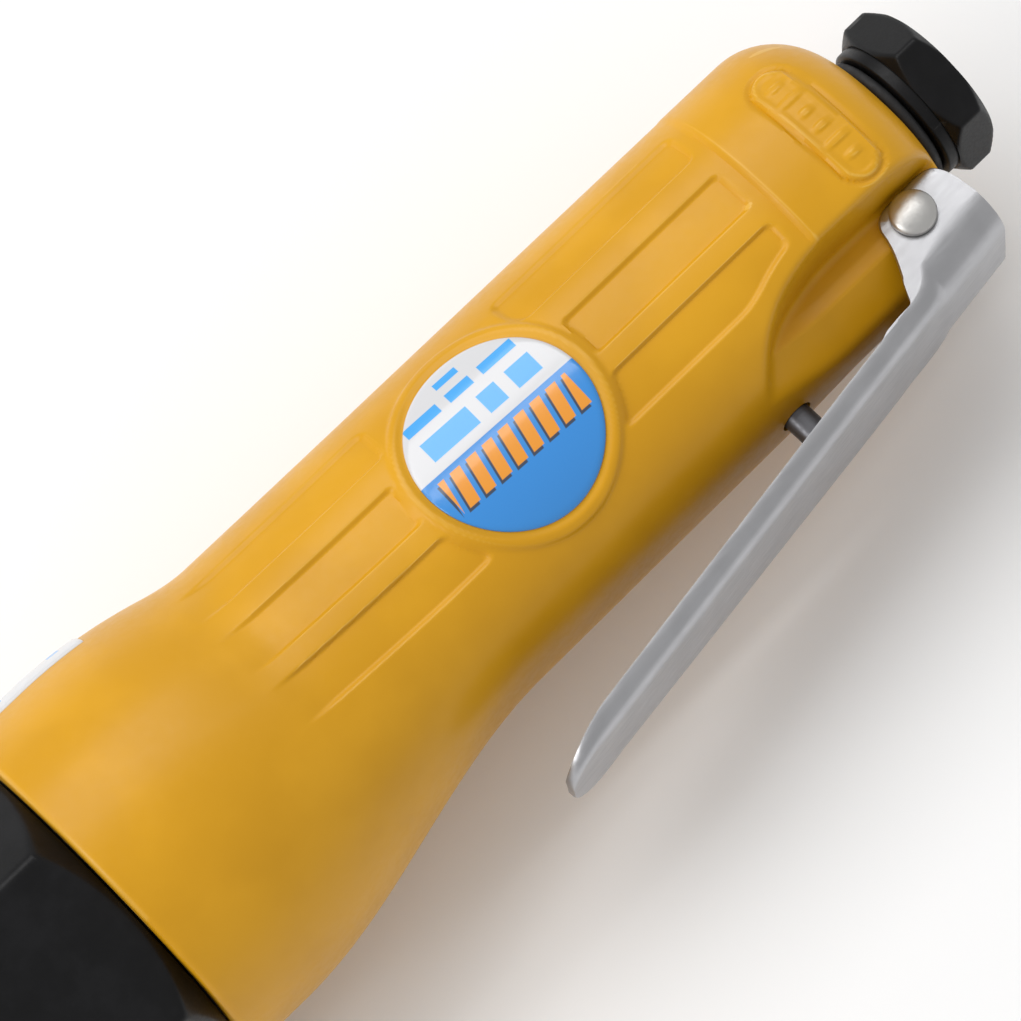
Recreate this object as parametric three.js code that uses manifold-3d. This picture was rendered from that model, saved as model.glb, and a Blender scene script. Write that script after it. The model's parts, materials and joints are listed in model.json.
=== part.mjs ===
// Air ratchet wrench with a half-inch square drive, lying on its side with its label up.
// Millimetres. +X runs along the tool towards the air inlet and +Z is up through the label.
// The throttle lever and the square drive are on the -Y side, the reversing knob on +Y.
// Every solid is made with the motor axis on y = 0, z = 0 and the housing's front face at
// x = 0. The last lines move the whole tool so that the origin lies under its middle.

import * as THREE from 'three';
import { mergeVertices } from 'three/addons/utils/BufferGeometryUtils.js';
import Module from 'manifold-3d';

const wasm = await Module();
wasm.setup();

// ---------------------------------------------------------------------------------------
// Driving dimensions
// ---------------------------------------------------------------------------------------

const GAP = 0.3; // between neighbours that touch on the real tool
const SIDES = 24; // facets of a full turn
const SKIN_SIDES = 40; // on the skins of the housing and the neck
const SMALL_SIDES = 12;

// Housing: a round nose that flares down to a slimmer grip, which sits off the motor axis.
const HOUSING_LENGTH = 121.5;
const NOSE_RADIUS = 23.1;
const GRIP_OFFSET = 1.85; // grip and inlet axis, away from the lever
const GRIP_HALF_WIDTH = 17.9;
const GRIP_HALF_HEIGHT = 16.6;
const GRIP_TAPER = 0.007; // loss of half width for each millimetre of length
const GRIP_SQUARENESS = 2.3; // exponent of the super-ellipse
const FLARE_START = 8;
const FLARE_END_FAR = 28; // on the side away from the lever, where it stops at a crease
const FLARE_END_NEAR = 51; // on the lever side, where it fades out
const TAIL_ROUNDING = 9;
const TAIL_BLOCK_START = 103;
const TAIL_BLOCK_STEP = 0.7;

// Ear recess: the two flats that the lever's ears lie against.
const EAR_FLAT = 7.0; // half distance between the flats
const EAR_RECESS_EDGE = -7.0;
const EAR_RECESS_START = 87;

// Bores of the housing
const GEAR_BORE_RADIUS = 19.2;
const GEAR_BORE_DEPTH = 24;
const MOTOR_BORE_RADIUS = 14;
const MOTOR_BORE_DEPTH = 74;

// Throttle: lever, its pin, and the poppet valve under it
const LEVER_PIVOT = [114.7, -10.35];
const LEVER_PIN_RADIUS = 1.6;
const LEVER_SHEET = 1.2;
const LEVER_TIP = 43.5;
const LEVER_HEEL = 121.7;
const LEVER_BACK_AT_PIVOT = -18.75; // outer face of the back, straight below the pivot
const LEVER_SLOPE = 0.137; // the back moves away from the grip towards its tip
const EAR_INNER = EAR_FLAT + 0.25;
const EAR_OUTER = EAR_INNER + LEVER_SHEET;
const VALVE_X = 91;
const VALVE_BORE_RADIUS = 5.6;
const VALVE_SEAT = -6.5;
const STEM_RADIUS = 1.75;

// Inlet
const INLET_HEX_START = 125;
const INLET_HEX_END = 130.2;
const INLET_HEX_FLATS = 18.6;
const INLET_BORE_RADIUS = 5.7;
const INLET_POCKET_RADIUS = 7.3;
const INLET_POCKET_START = 105.5;

// Vane motor
const MOTOR_PART_RADIUS = MOTOR_BORE_RADIUS - GAP;
const FRONT_PLATE = [24.3, 30];
const CYLINDER = [30.3, 66];
const REAR_PLATE = [66.3, 72.3];
const ROTOR_RADIUS = 10.3;
const CHAMBER_RADIUS = 11.6;
const CHAMBER_OFFSET = -1.1;
const VANES = 5;
const VANE_THICKNESS = 1.5;

// Planetary gears: sun on the rotor, three planets, and a fixed ring
const GEAR_MODULE = 0.65;
const SUN_TEETH = 12;
const PLANET_TEETH = 18;
const RING_TEETH = SUN_TEETH + 2 * PLANET_TEETH;
const PLANETS = 3;
const ORBIT = (GEAR_MODULE * (SUN_TEETH + PLANET_TEETH)) / 2;
const ADDENDUM = 0.8 * GEAR_MODULE;
const DEDENDUM = 1.2 * GEAR_MODULE;
const BACKLASH = 0.16;
const RING_GEAR = [9.3, 23.7];
const PLANET_GEAR = [11, 20];
const PLANET_PIN_RADIUS = 1.5;
const CARRIER_RADIUS = 13.2;

// Clamp nut and its split ring
const NUT_FLATS = 41;
const NUT_START = -24;
const NUT_TURN = THREE.MathUtils.degToRad(85.4); // direction of one corner, from +Y to +Z
const NECK_RADIUS = 12.8;
const RING_GROOVE = [-8, -4];
const SPIGOT_LENGTH = 9;

// Ratchet head
const HEAD_X = -110;
const HEAD_RADIUS = 19;
const HEAD_DRIVE_FACE = -11;
const HEAD_KNOB_FACE = 12;
const NECK_END = 4;
const CRANK_BORE_RADIUS = 9.4;
const CRANK_SHAFT_RADIUS = 6;
const CRANK_REACH = 24; // from the anvil axis to the middle of the crank pin
const ROCK = THREE.MathUtils.degToRad(7.5); // the yoke swings this far each way
const CRANK_THROW = CRANK_REACH * Math.sin(ROCK);
const CRANK_PIN_RADIUS = 2;
const DRIVE_BUSHING_RADIUS = 3.5;
const YOKE_RADIUS = 16.2;
const YOKE_HALF_THICKNESS = 5;
const RATCHET_TEETH = 48;
const RATCHET_TIP_RADIUS = 12.6;
const RATCHET_ROOT_RADIUS = 13.7;

// Anvil, pawl and reversing knob
const ANVIL_RADIUS = 12.2;
const SQUARE = 12.7;
const SQUARE_START = -13.5;
const SQUARE_END = -30;
const PAWL_PIVOT = -7.6; // along X from the anvil axis
const PAWL_SWING = THREE.MathUtils.degToRad(12);
const PAWL_HALF_THICKNESS = 3.5;
const PAWL_CLEARANCE = 0.55; // radial, between pawl teeth and yoke teeth in mesh
const KNOB_STEM_RADIUS = 3.6;
const BALL_RADIUS = 2.3;
const BALL_Y = -24.5;
const BALL_X = -4.95;

// ---------------------------------------------------------------------------------------
// Solids: every shape is a closed geometry, joined and cut as manifold solids
// ---------------------------------------------------------------------------------------

// Merges shared corners, drops empty triangles and turns the faces outwards.
function closed(source) {
  const bare = source.clone();
  bare.deleteAttribute('normal');
  bare.deleteAttribute('uv');
  const merged = mergeVertices(bare, 1e-4);
  const position = merged.attributes.position;
  const index = Array.from(merged.index.array);
  const corner = (i) => new THREE.Vector3().fromBufferAttribute(position, i);
  const kept = [];
  let volume = 0;
  for (let i = 0; i < index.length; i += 3) {
    const [a, b, c] = [index[i], index[i + 1], index[i + 2]];
    if (a === b || b === c || c === a) continue;
    kept.push([a, b, c]);
    volume += corner(a).dot(corner(b).cross(corner(c)));
  }
  const turned = volume < 0 ? kept.map(([a, b, c]) => [a, c, b]) : kept;
  merged.setIndex(turned.flat());
  return merged;
}

function solidOf(geometry) {
  const clean = closed(geometry);
  return new wasm.Manifold(new wasm.Mesh({
    numProp: 3,
    vertProperties: new Float32Array(clean.attributes.position.array),
    triVerts: new Uint32Array(clean.index.array),
  }));
}

function geometryOf(solid) {
  const mesh = solid.getMesh();
  const geometry = new THREE.BufferGeometry();
  geometry.setAttribute('position', new THREE.BufferAttribute(new Float32Array(mesh.vertProperties), 3));
  geometry.setIndex(new THREE.BufferAttribute(new Uint32Array(mesh.triVerts), 1));
  return geometry;
}

function join(first, ...others) {
  return geometryOf(others.reduce((whole, other) => whole.add(solidOf(other)), solidOf(first)));
}

function cut(body, ...tools) {
  return geometryOf(tools.reduce((rest, tool) => rest.subtract(solidOf(tool)), solidOf(body)));
}

function common(first, second) {
  return geometryOf(solidOf(first).intersect(solidOf(second)));
}

// A turned piece about the Y axis from [y, radius] corners.
function turnedY(profile, sides = SIDES) {
  return new THREE.LatheGeometry(profile.map(([y, r]) => new THREE.Vector2(r, y)), sides);
}

// A turned piece about the X axis from [x, radius] corners.
function turnedX(profile, sides = SIDES) {
  return turnedY(profile, sides).rotateZ(-Math.PI / 2);
}

function loop(corners) {
  return [...corners, corners[0]];
}

function rodX([start, end], radius, sides = SIDES) {
  return turnedX([[start, 0], [start, radius], [end, radius], [end, 0]], sides);
}

function rodY([start, end], radius, sides = SIDES) {
  return turnedY([[start, 0], [start, radius], [end, radius], [end, 0]], sides);
}

function rodZ([start, end], radius, sides = SMALL_SIDES) {
  return rodY([start, end], radius, sides).rotateX(Math.PI / 2);
}

function tubeX([start, end], outer, inner, sides = SIDES) {
  return turnedX(loop([[start, inner], [start, outer], [end, outer], [end, inner]]), sides);
}

function tubeY([start, end], outer, inner, sides = SIDES) {
  return turnedY(loop([[start, inner], [start, outer], [end, outer], [end, inner]]), sides);
}

function block([x0, x1], [y0, y1], [z0, z1]) {
  const box = new THREE.BoxGeometry(x1 - x0, y1 - y0, z1 - z0);
  return box.translate((x0 + x1) / 2, (y0 + y1) / 2, (z0 + z1) / 2);
}

function shapeOf(points) {
  return new THREE.Shape(points.map(([u, v]) => new THREE.Vector2(u, v)));
}

function extruded(shape, depth) {
  return new THREE.ExtrudeGeometry(shape, { depth, bevelEnabled: false, curveSegments: 8 });
}

// A plate with its outline in X and Y, from one z to another.
function plateZ(shape, [start, end]) {
  return extruded(shape, end - start).translate(0, 0, start);
}

// A plate with its outline in X and Z, from one y to another.
function plateY(shape, [start, end]) {
  return extruded(shape, end - start).rotateX(Math.PI / 2).translate(0, end, 0);
}

// A prism with its outline in Y and Z, from one x to another.
function prismX(shape, [start, end]) {
  const turn = new THREE.Matrix4().makeBasis(
    new THREE.Vector3(0, 1, 0),
    new THREE.Vector3(0, 0, 1),
    new THREE.Vector3(1, 0, 0),
  );
  return extruded(shape, end - start).applyMatrix4(turn).translate(start, 0, 0);
}

// A skin through cross-sections; section(x, angle) gives [y, z] on the outline.
function loft(stations, section, sides = SKIN_SIDES) {
  const rows = stations.length - 1;
  const geometry = new THREE.CylinderGeometry(1, 1, 1, sides, rows);
  const position = geometry.attributes.position;
  for (let i = 0; i < position.count; i += 1) {
    const x = stations[Math.round((position.getY(i) + 0.5) * rows)];
    const reach = Math.hypot(position.getX(i), position.getZ(i));
    const [y, z] = section(x, Math.atan2(position.getZ(i), position.getX(i)));
    position.setXYZ(i, x, y * reach, z * reach);
  }
  return geometry;
}

function polygon(count, acrossFlats, turn) {
  const radius = acrossFlats / 2 / Math.cos(Math.PI / count);
  return Array.from({ length: count }, (_, i) => {
    const angle = turn + (i * 2 * Math.PI) / count;
    return [radius * Math.cos(angle), radius * Math.sin(angle)];
  });
}

// A coil spring along X, wound round the axis, with flat-sided wire.
function springX([start, end], radius, wire, turns) {
  const steps = turns * 8;
  const points = Array.from({ length: steps + 1 }, (_, i) => {
    const angle = (i / steps) * turns * 2 * Math.PI;
    const x = start + wire + ((end - start - 2 * wire) * i) / steps;
    return new THREE.Vector3(x, radius * Math.cos(angle), radius * Math.sin(angle));
  });
  const path = new THREE.CatmullRomCurve3(points);
  const section = shapeOf(polygon(4, 2 * wire * Math.cos(Math.PI / 4), 0));
  return new THREE.ExtrudeGeometry(section, { steps, bevelEnabled: false, extrudePath: path });
}

// ---------------------------------------------------------------------------------------
// Gears
// ---------------------------------------------------------------------------------------

// Straight-flanked teeth: the tooth is thinned by half the backlash on each gear.
function gearOutline(teeth, turn, internal) {
  const pitchRadius = (GEAR_MODULE * teeth) / 2;
  const flank = Math.tan(THREE.MathUtils.degToRad(20));
  const out = internal ? -1 : 1;
  const tip = pitchRadius + out * ADDENDUM;
  const root = pitchRadius - out * DEDENDUM;
  const half = (Math.PI * GEAR_MODULE) / 4 - BACKLASH / 2;
  const tipHalf = (half - ADDENDUM * flank) / tip;
  const rootHalf = (half + DEDENDUM * flank) / root;
  const points = [];
  for (let i = 0; i < teeth; i += 1) {
    const middle = turn + (i * 2 * Math.PI) / teeth;
    for (const [radius, offset] of [[root, -rootHalf], [tip, -tipHalf], [tip, tipHalf], [root, rootHalf]]) {
      points.push([radius * Math.cos(middle + offset), radius * Math.sin(middle + offset)]);
    }
  }
  return points;
}

function withHole(outline, hole) {
  const shape = shapeOf(outline);
  shape.holes.push(new THREE.Path(hole.map(([u, v]) => new THREE.Vector2(u, v))));
  return shape;
}

function circle(radius, sides) {
  return polygon(sides, 2 * radius * Math.cos(Math.PI / sides), 0);
}

// ---------------------------------------------------------------------------------------
// The tool's tree: one mesh for each piece, each with its own material
// ---------------------------------------------------------------------------------------

const tool = new THREE.Group();

const FINISHES = {
  yellow_paint: [0xdda22a, 0.38, 0.0],
  black_oxide: [0x1d1d1f, 0.42, 0.6],
  nickel: [0xb9b9bc, 0.34, 0.9],
  steel: [0x9a9b9d, 0.3, 1.0],
  dark_steel: [0x55565a, 0.36, 0.9],
  bronze: [0xa9803f, 0.4, 0.9],
  rubber: [0x17181a, 0.75, 0.0],
  vane_composite: [0x6b3a22, 0.6, 0.0],
  label: [0x2f8bdc, 0.35, 0.0],
};

function add(name, geometry, finish) {
  const [color, roughness, metalness] = FINISHES[finish];
  const mesh = new THREE.Mesh(closed(geometry), new THREE.MeshStandardMaterial({ color, roughness, metalness }));
  mesh.name = name;
  tool.add(mesh);
  return mesh;
}

// ---------------------------------------------------------------------------------------
// Housing and labels
// ---------------------------------------------------------------------------------------

// Outline of the grip at x: a super-ellipse about the grip axis.
function gripPoint(x, angle, proud) {
  const intoTail = Math.max(0, x - (HOUSING_LENGTH - TAIL_ROUNDING));
  const inset = TAIL_ROUNDING - Math.sqrt(TAIL_ROUNDING ** 2 - intoTail ** 2);
  const block = x > TAIL_BLOCK_START ? TAIL_BLOCK_STEP : 0;
  const halfWidth = GRIP_HALF_WIDTH - GRIP_TAPER * x - inset + proud;
  const halfHeight = GRIP_HALF_HEIGHT + block - inset + proud;
  const n = GRIP_SQUARENESS;
  const across = Math.abs(Math.cos(angle) / halfWidth) ** n + Math.abs(Math.sin(angle) / halfHeight) ** n;
  const radius = across ** (-1 / n);
  return [GRIP_OFFSET + radius * Math.cos(angle), radius * Math.sin(angle)];
}

// Share of the grip's outline in the section at x, from 0 at the nose to 1 on the grip.
function flareBlend(x, angle) {
  const far = THREE.MathUtils.clamp((x - FLARE_START) / (FLARE_END_FAR - FLARE_START), 0, 1) ** 2;
  const near = THREE.MathUtils.smoothstep(x, FLARE_START, FLARE_END_NEAR);
  const side = 0.5 + 0.5 * Math.cos(angle);
  return THREE.MathUtils.lerp(near, far, side);
}

function housingSection(proud) {
  return (x, angle) => {
    const [gripY, gripZ] = gripPoint(x, angle, proud);
    const share = flareBlend(x, angle);
    const nose = NOSE_RADIUS + proud;
    return [
      THREE.MathUtils.lerp(nose * Math.cos(angle), gripY, share),
      THREE.MathUtils.lerp(nose * Math.sin(angle), gripZ, share),
    ];
  };
}

function housingSkin(proud) {
  const stations = [
    0, FLARE_START, 15, 22, FLARE_END_FAR, 36, 44, FLARE_END_NEAR,
    TAIL_BLOCK_START, TAIL_BLOCK_START + 0.6, 112.5, 117, 119.8, HOUSING_LENGTH,
  ];
  return loft(stations, housingSection(proud));
}

// Side view of one ear recess, open towards the lever side and the tail.
function earRecess([start, end]) {
  const shape = new THREE.Shape();
  shape.moveTo(EAR_RECESS_START, -30);
  shape.lineTo(EAR_RECESS_START, -18);
  shape.quadraticCurveTo(EAR_RECESS_START + 4, EAR_RECESS_EDGE - 0.6, 104, EAR_RECESS_EDGE);
  shape.lineTo(HOUSING_LENGTH + 5, EAR_RECESS_EDGE);
  shape.lineTo(HOUSING_LENGTH + 5, -30);
  shape.closePath();
  return plateZ(shape, [start, end]);
}

function motorHousing() {
  const bores = turnedX([
    [-5, 0], [-5, GEAR_BORE_RADIUS], [GEAR_BORE_DEPTH, GEAR_BORE_RADIUS],
    [GEAR_BORE_DEPTH, MOTOR_BORE_RADIUS], [MOTOR_BORE_DEPTH, MOTOR_BORE_RADIUS], [MOTOR_BORE_DEPTH, 0],
  ]);
  const inletPocket = rodX([INLET_POCKET_START, HOUSING_LENGTH + 5], INLET_POCKET_RADIUS, SMALL_SIDES);
  const inletPassage = rodX([VALVE_X, INLET_POCKET_START + 1], 4, SMALL_SIDES);
  const motorPassage = rodX([MOTOR_BORE_DEPTH - 1, VALVE_X], 2.5, SMALL_SIDES);
  const valveBore = rodY([-25, 8], VALVE_BORE_RADIUS, SMALL_SIDES);
  const pinHole = rodZ([-20, 20], LEVER_PIN_RADIUS + 0.2);
  const exhaustSlots = [0, 1, 2, 3, 4].map((i) => {
    const start = 48 + 3.6 * i;
    return block([start, start + 1.7], [-5, 7], [-20, -12]);
  });
  return cut(
    housingSkin(0),
    bores,
    inletPocket.translate(0, GRIP_OFFSET, 0),
    inletPassage.translate(0, GRIP_OFFSET, 0),
    motorPassage.translate(0, -8, 0),
    valveBore.translate(VALVE_X, 0, 0),
    pinHole.translate(LEVER_PIVOT[0], LEVER_PIVOT[1], 0),
    earRecess([EAR_FLAT, 30]),
    earRecess([-30, -EAR_FLAT]),
    ...exhaustSlots,
  );
}

add('motor_housing', motorHousing(), 'yellow_paint');

// A sticker is a thin slice of the housing's skin, a little proud of it.
function sticker(outline) {
  return common(cut(housingSkin(GAP + 0.3), housingSkin(GAP)), outline);
}

add('label_disc', sticker(rodZ([0, 30], 11, SIDES).translate(64.5, GRIP_OFFSET, 0)), 'label');
add('side_label', sticker(block([2.5, 17], [10, 30], [-12.5, 12.5])), 'label');

// ---------------------------------------------------------------------------------------
// Inlet
// ---------------------------------------------------------------------------------------

// Cuts a bevel on the corners of a prism at each end of its run along X.
function bevelled(prism, [start, end], flats, cornerRadius, slope) {
  const flatRadius = flats / 2 - 0.3;
  const drop = (cornerRadius - flatRadius) * slope;
  return common(prism, turnedX([
    [start, 0], [start, flatRadius], [start + drop, cornerRadius + 0.1],
    [end - drop, cornerRadius + 0.1], [end, flatRadius], [end, 0],
  ]));
}

function inletBushing() {
  const cornerRadius = INLET_HEX_FLATS / 2 / Math.cos(Math.PI / 6);
  const span = [INLET_HEX_START, INLET_HEX_END];
  const outline = polygon(6, INLET_HEX_FLATS, THREE.MathUtils.degToRad(82));
  const hex = bevelled(prismX(shapeOf(outline), span), span, INLET_HEX_FLATS, cornerRadius, 0.9);
  const body = join(
    hex,
    rodX([123.5, INLET_HEX_START + 1], 9, SMALL_SIDES),
    rodX([108.3, 124], INLET_POCKET_RADIUS - GAP, SMALL_SIDES),
  );
  return cut(body, rodX([100, 140], INLET_BORE_RADIUS, SMALL_SIDES)).translate(0, GRIP_OFFSET, 0);
}

function inletScreen() {
  const disc = rodX([105.8, 108], INLET_POCKET_RADIUS - GAP, SMALL_SIDES);
  const holes = polygon(6, 6, 0).concat([[0, 0]]).map(([y, z]) => rodX([100, 110], 0.9, 8).translate(0, y, z));
  return cut(disc, ...holes).translate(0, GRIP_OFFSET, 0);
}

add('inlet_bushing', inletBushing(), 'black_oxide');
add('inlet_screen', inletScreen(), 'steel');
add('inlet_seal', tubeX([121.8, 123.2], 8.6, 7.4, SMALL_SIDES).translate(0, GRIP_OFFSET, 0), 'rubber');

// ---------------------------------------------------------------------------------------
// Throttle
// ---------------------------------------------------------------------------------------

// Outer face of the lever's back at x.
function leverBack(x) {
  return LEVER_BACK_AT_PIVOT - LEVER_SLOPE * (LEVER_PIVOT[0] - x);
}

function throttleLever() {
  const heel = LEVER_HEEL - 2;
  const blade = shapeOf([
    [LEVER_TIP, leverBack(LEVER_TIP)],
    [heel, leverBack(heel)],
    [heel, leverBack(heel) + LEVER_SHEET],
    [LEVER_TIP, leverBack(LEVER_TIP) + LEVER_SHEET],
  ]);
  const plan = new THREE.Shape();
  const tipHalf = 6.8;
  plan.moveTo(LEVER_HEEL, -EAR_OUTER);
  plan.lineTo(95, -EAR_OUTER);
  plan.lineTo(LEVER_TIP + 4, -tipHalf);
  plan.quadraticCurveTo(LEVER_TIP, -tipHalf, LEVER_TIP, -tipHalf + 4);
  plan.lineTo(LEVER_TIP, tipHalf - 4);
  plan.quadraticCurveTo(LEVER_TIP, tipHalf, LEVER_TIP + 4, tipHalf);
  plan.lineTo(95, EAR_OUTER);
  plan.lineTo(LEVER_HEEL, EAR_OUTER);
  const back = common(plateZ(blade, [-EAR_OUTER, EAR_OUTER]), plateY(plan, [-40, 0]));
  const ear = new THREE.Shape();
  ear.moveTo(107.4, leverBack(107.4) + 0.1);
  ear.lineTo(heel - 1, leverBack(heel - 1) + 0.1);
  ear.quadraticCurveTo(LEVER_HEEL, leverBack(heel), LEVER_HEEL, -14.5);
  ear.lineTo(120.8, -9);
  ear.quadraticCurveTo(120.3, -7.3, 119, -7.3);
  ear.lineTo(113.4, -7.4);
  ear.quadraticCurveTo(111.4, -7.7, 110.8, -11);
  ear.lineTo(108, -17.8);
  ear.closePath();
  const pinHole = rodZ([-20, 20], LEVER_PIN_RADIUS + 0.2).translate(LEVER_PIVOT[0], LEVER_PIVOT[1], 0);
  const ears = [[EAR_INNER, EAR_OUTER], [-EAR_OUTER, -EAR_INNER]].map((span) => plateZ(ear, span));
  return cut(join(back, ...ears), pinHole);
}

// A rivet: a straight pin with a domed head at each end.
function leverPin() {
  const under = EAR_OUTER + 0.2;
  const rim = 2.7;
  const top = under + 1.4;
  const half = [[0, LEVER_PIN_RADIUS], [under, LEVER_PIN_RADIUS], [under, rim], [under + 0.6, rim - 0.2],
    [top - 0.3, rim - 1.2], [top, 0]];
  const mirrored = half.slice(1).reverse().map(([along, radius]) => [-along, radius]);
  return turnedY([...mirrored, ...half.slice(1)], SMALL_SIDES).rotateX(Math.PI / 2);
}

function valveBushing() {
  const body = tubeY([-15.2, VALVE_SEAT], VALVE_BORE_RADIUS - GAP, STEM_RADIUS + 0.35, SMALL_SIDES);
  const groove = tubeY([-13.2, -11.6], 7, VALVE_BORE_RADIUS - 1.3, SMALL_SIDES);
  const port = rodX([-10, 10], 1.8, 12).translate(0, -8.6, 0);
  return cut(body, groove, port);
}

// Stem and poppet are one turned piece that the lever pushes inwards.
function throttleValve() {
  const stemEnd = leverBack(VALVE_X) + LEVER_SHEET + GAP;
  const poppet = VALVE_SEAT + GAP;
  return turnedY([
    [stemEnd, 0], [stemEnd, STEM_RADIUS - 0.4], [stemEnd + 0.4, STEM_RADIUS], [poppet, STEM_RADIUS],
    [poppet, 4.3], [poppet + 1.8, 4.3], [poppet + 1.8, 1.6], [poppet + 4, 1.6], [poppet + 4, 0],
  ], SMALL_SIDES);
}

add('throttle_lever', throttleLever(), 'nickel');
add('lever_pin', leverPin().translate(LEVER_PIVOT[0], LEVER_PIVOT[1], 0), 'steel');
add('valve_bushing', valveBushing().translate(VALVE_X, 0, 0), 'bronze');
add('valve_seal', tubeY([-13, -11.8], 5.2, 4.5, SMALL_SIDES).translate(VALVE_X, 0, 0), 'rubber');
add('throttle_valve', throttleValve().translate(VALVE_X, 0, 0), 'dark_steel');
add('throttle_valve_spring', springX([-4.1, 7.7], 3, 0.45, 5).rotateZ(Math.PI / 2).translate(VALVE_X, 0, 0), 'steel');

// ---------------------------------------------------------------------------------------
// Vane motor
// ---------------------------------------------------------------------------------------

const DOWEL_Y = 12.1;
const DOWEL_RADIUS = 1;

function dowelHole() {
  return rodX([0, 90], DOWEL_RADIUS + GAP, 12).translate(0, DOWEL_Y, 0);
}

function frontEndPlate() {
  const [start, end] = FRONT_PLATE;
  return cut(turnedX(loop([
    [start, 5.2], [start, MOTOR_PART_RADIUS], [end, MOTOR_PART_RADIUS], [end, 8.5], [start + 0.8, 8.5],
    [start + 0.8, 5.2],
  ])), dowelHole());
}

function rearEndPlate() {
  const [start, end] = REAR_PLATE;
  return cut(turnedX(loop([
    [start, 4], [start, MOTOR_PART_RADIUS], [end, MOTOR_PART_RADIUS], [end, 7.3], [start + 1.5, 7.3],
    [start + 1.5, 4],
  ])), dowelHole());
}

function cylinder() {
  const chamber = rodX([0, 90], CHAMBER_RADIUS).translate(0, CHAMBER_OFFSET, 0);
  const ports = [0, 1, 2].map((i) => block([44 + 6 * i, 46 + 6 * i], [-4, 4], [-20, -5]));
  return cut(rodX(CYLINDER, MOTOR_PART_RADIUS), chamber, dowelHole(), ...ports);
}

// Rotor, shaft and sun pinion are one piece; the slots hold the vanes.
function rotor() {
  const slots = [];
  for (let i = 0; i < VANES; i += 1) {
    const slot = block([20, 80], [4.6, 15], [-VANE_THICKNESS / 2 - 0.2, VANE_THICKNESS / 2 + 0.2]);
    slots.push(slot.rotateX((i * 2 * Math.PI) / VANES));
  }
  const body = cut(rodX([CYLINDER[0] + GAP, CYLINDER[1] - GAP], ROTOR_RADIUS), ...slots);
  const pinion = prismX(shapeOf(gearOutline(SUN_TEETH, 0, false)), [10.9, 22]);
  return join(body, pinion, rodX([21, 31], 4.5, SMALL_SIDES), rodX([65, 73], 3.5, SMALL_SIDES));
}

function vane(i) {
  const half = VANE_THICKNESS / 2;
  const plate = block([CYLINDER[0] + 0.5, CYLINDER[1] - 0.5], [4.9, ROTOR_RADIUS - 0.15], [-half, half]);
  return plate.rotateX((i * 2 * Math.PI) / VANES);
}

add('front_end_plate', frontEndPlate(), 'dark_steel');
add('front_bearing', tubeX([25.4, 29.6], 8.2, 4.8), 'steel');
add('motor_cylinder', cylinder(), 'steel');
add('cylinder_dowel', rodX([26, 70], DOWEL_RADIUS, 12).translate(0, DOWEL_Y, 0), 'steel');
add('rotor', rotor(), 'steel');
for (let i = 0; i < VANES; i += 1) {
  add(`rotor_vane_${i + 1}`, vane(i), 'vane_composite');
}
add('rear_end_plate', rearEndPlate(), 'dark_steel');
add('rear_bearing', tubeX([68.1, 72], 7, 3.8), 'steel');

// ---------------------------------------------------------------------------------------
// Planetary gears and crankshaft
// ---------------------------------------------------------------------------------------

function aroundOrbit(i) {
  const angle = (i * 2 * Math.PI) / PLANETS;
  return [ORBIT * Math.cos(angle), ORBIT * Math.sin(angle)];
}

function ringGear() {
  const inner = gearOutline(RING_TEETH, 0, true);
  return prismX(withHole(circle(GEAR_BORE_RADIUS - GAP, SIDES), inner), RING_GEAR);
}

// The planets turn so that a gap faces the sun's tooth and another faces the ring's.
function planetGear(i) {
  const turn = (i * 2 * Math.PI) / PLANETS + Math.PI / PLANET_TEETH;
  const hole = circle(PLANET_PIN_RADIUS + 0.25, 12);
  const gear = prismX(withHole(gearOutline(PLANET_TEETH, turn, false), hole), PLANET_GEAR);
  const [y, z] = aroundOrbit(i);
  return gear.translate(0, y, z);
}

function crankshaft() {
  const frontDisc = rodX([5, 10.6], CARRIER_RADIUS);
  const rearDisc = tubeX([20.4, 22.6], CARRIER_RADIUS, 5.3);
  const shaft = rodX([HEAD_X + CRANK_REACH + 4.7, 6], CRANK_SHAFT_RADIUS, SMALL_SIDES);
  const pin = rodX([HEAD_X + CRANK_REACH - 4.3, HEAD_X + CRANK_REACH + 6], CRANK_PIN_RADIUS, SMALL_SIDES);
  const posts = [];
  const pinHoles = [];
  for (let i = 0; i < PLANETS; i += 1) {
    const between = ((i + 0.5) * 2 * Math.PI) / PLANETS;
    const post = rodX([10, 21], 2.4, SMALL_SIDES);
    posts.push(post.translate(0, 10.4 * Math.cos(between), 10.4 * Math.sin(between)));
    const [y, z] = aroundOrbit(i);
    pinHoles.push(rodX([6, 30], PLANET_PIN_RADIUS + 0.25, 12).translate(0, y, z));
  }
  const body = join(frontDisc, rearDisc, shaft, pin.translate(0, CRANK_THROW, 0), ...posts);
  return cut(body, ...pinHoles);
}

add('ring_gear', ringGear(), 'dark_steel');
for (let i = 0; i < PLANETS; i += 1) {
  const [y, z] = aroundOrbit(i);
  add(`planet_gear_${i + 1}`, planetGear(i), 'steel');
  add(`planet_pin_${i + 1}`, rodX([6.4, 22.4], PLANET_PIN_RADIUS, 12).translate(0, y, z), 'dark_steel');
}
add('crankshaft', crankshaft(), 'steel');

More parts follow.
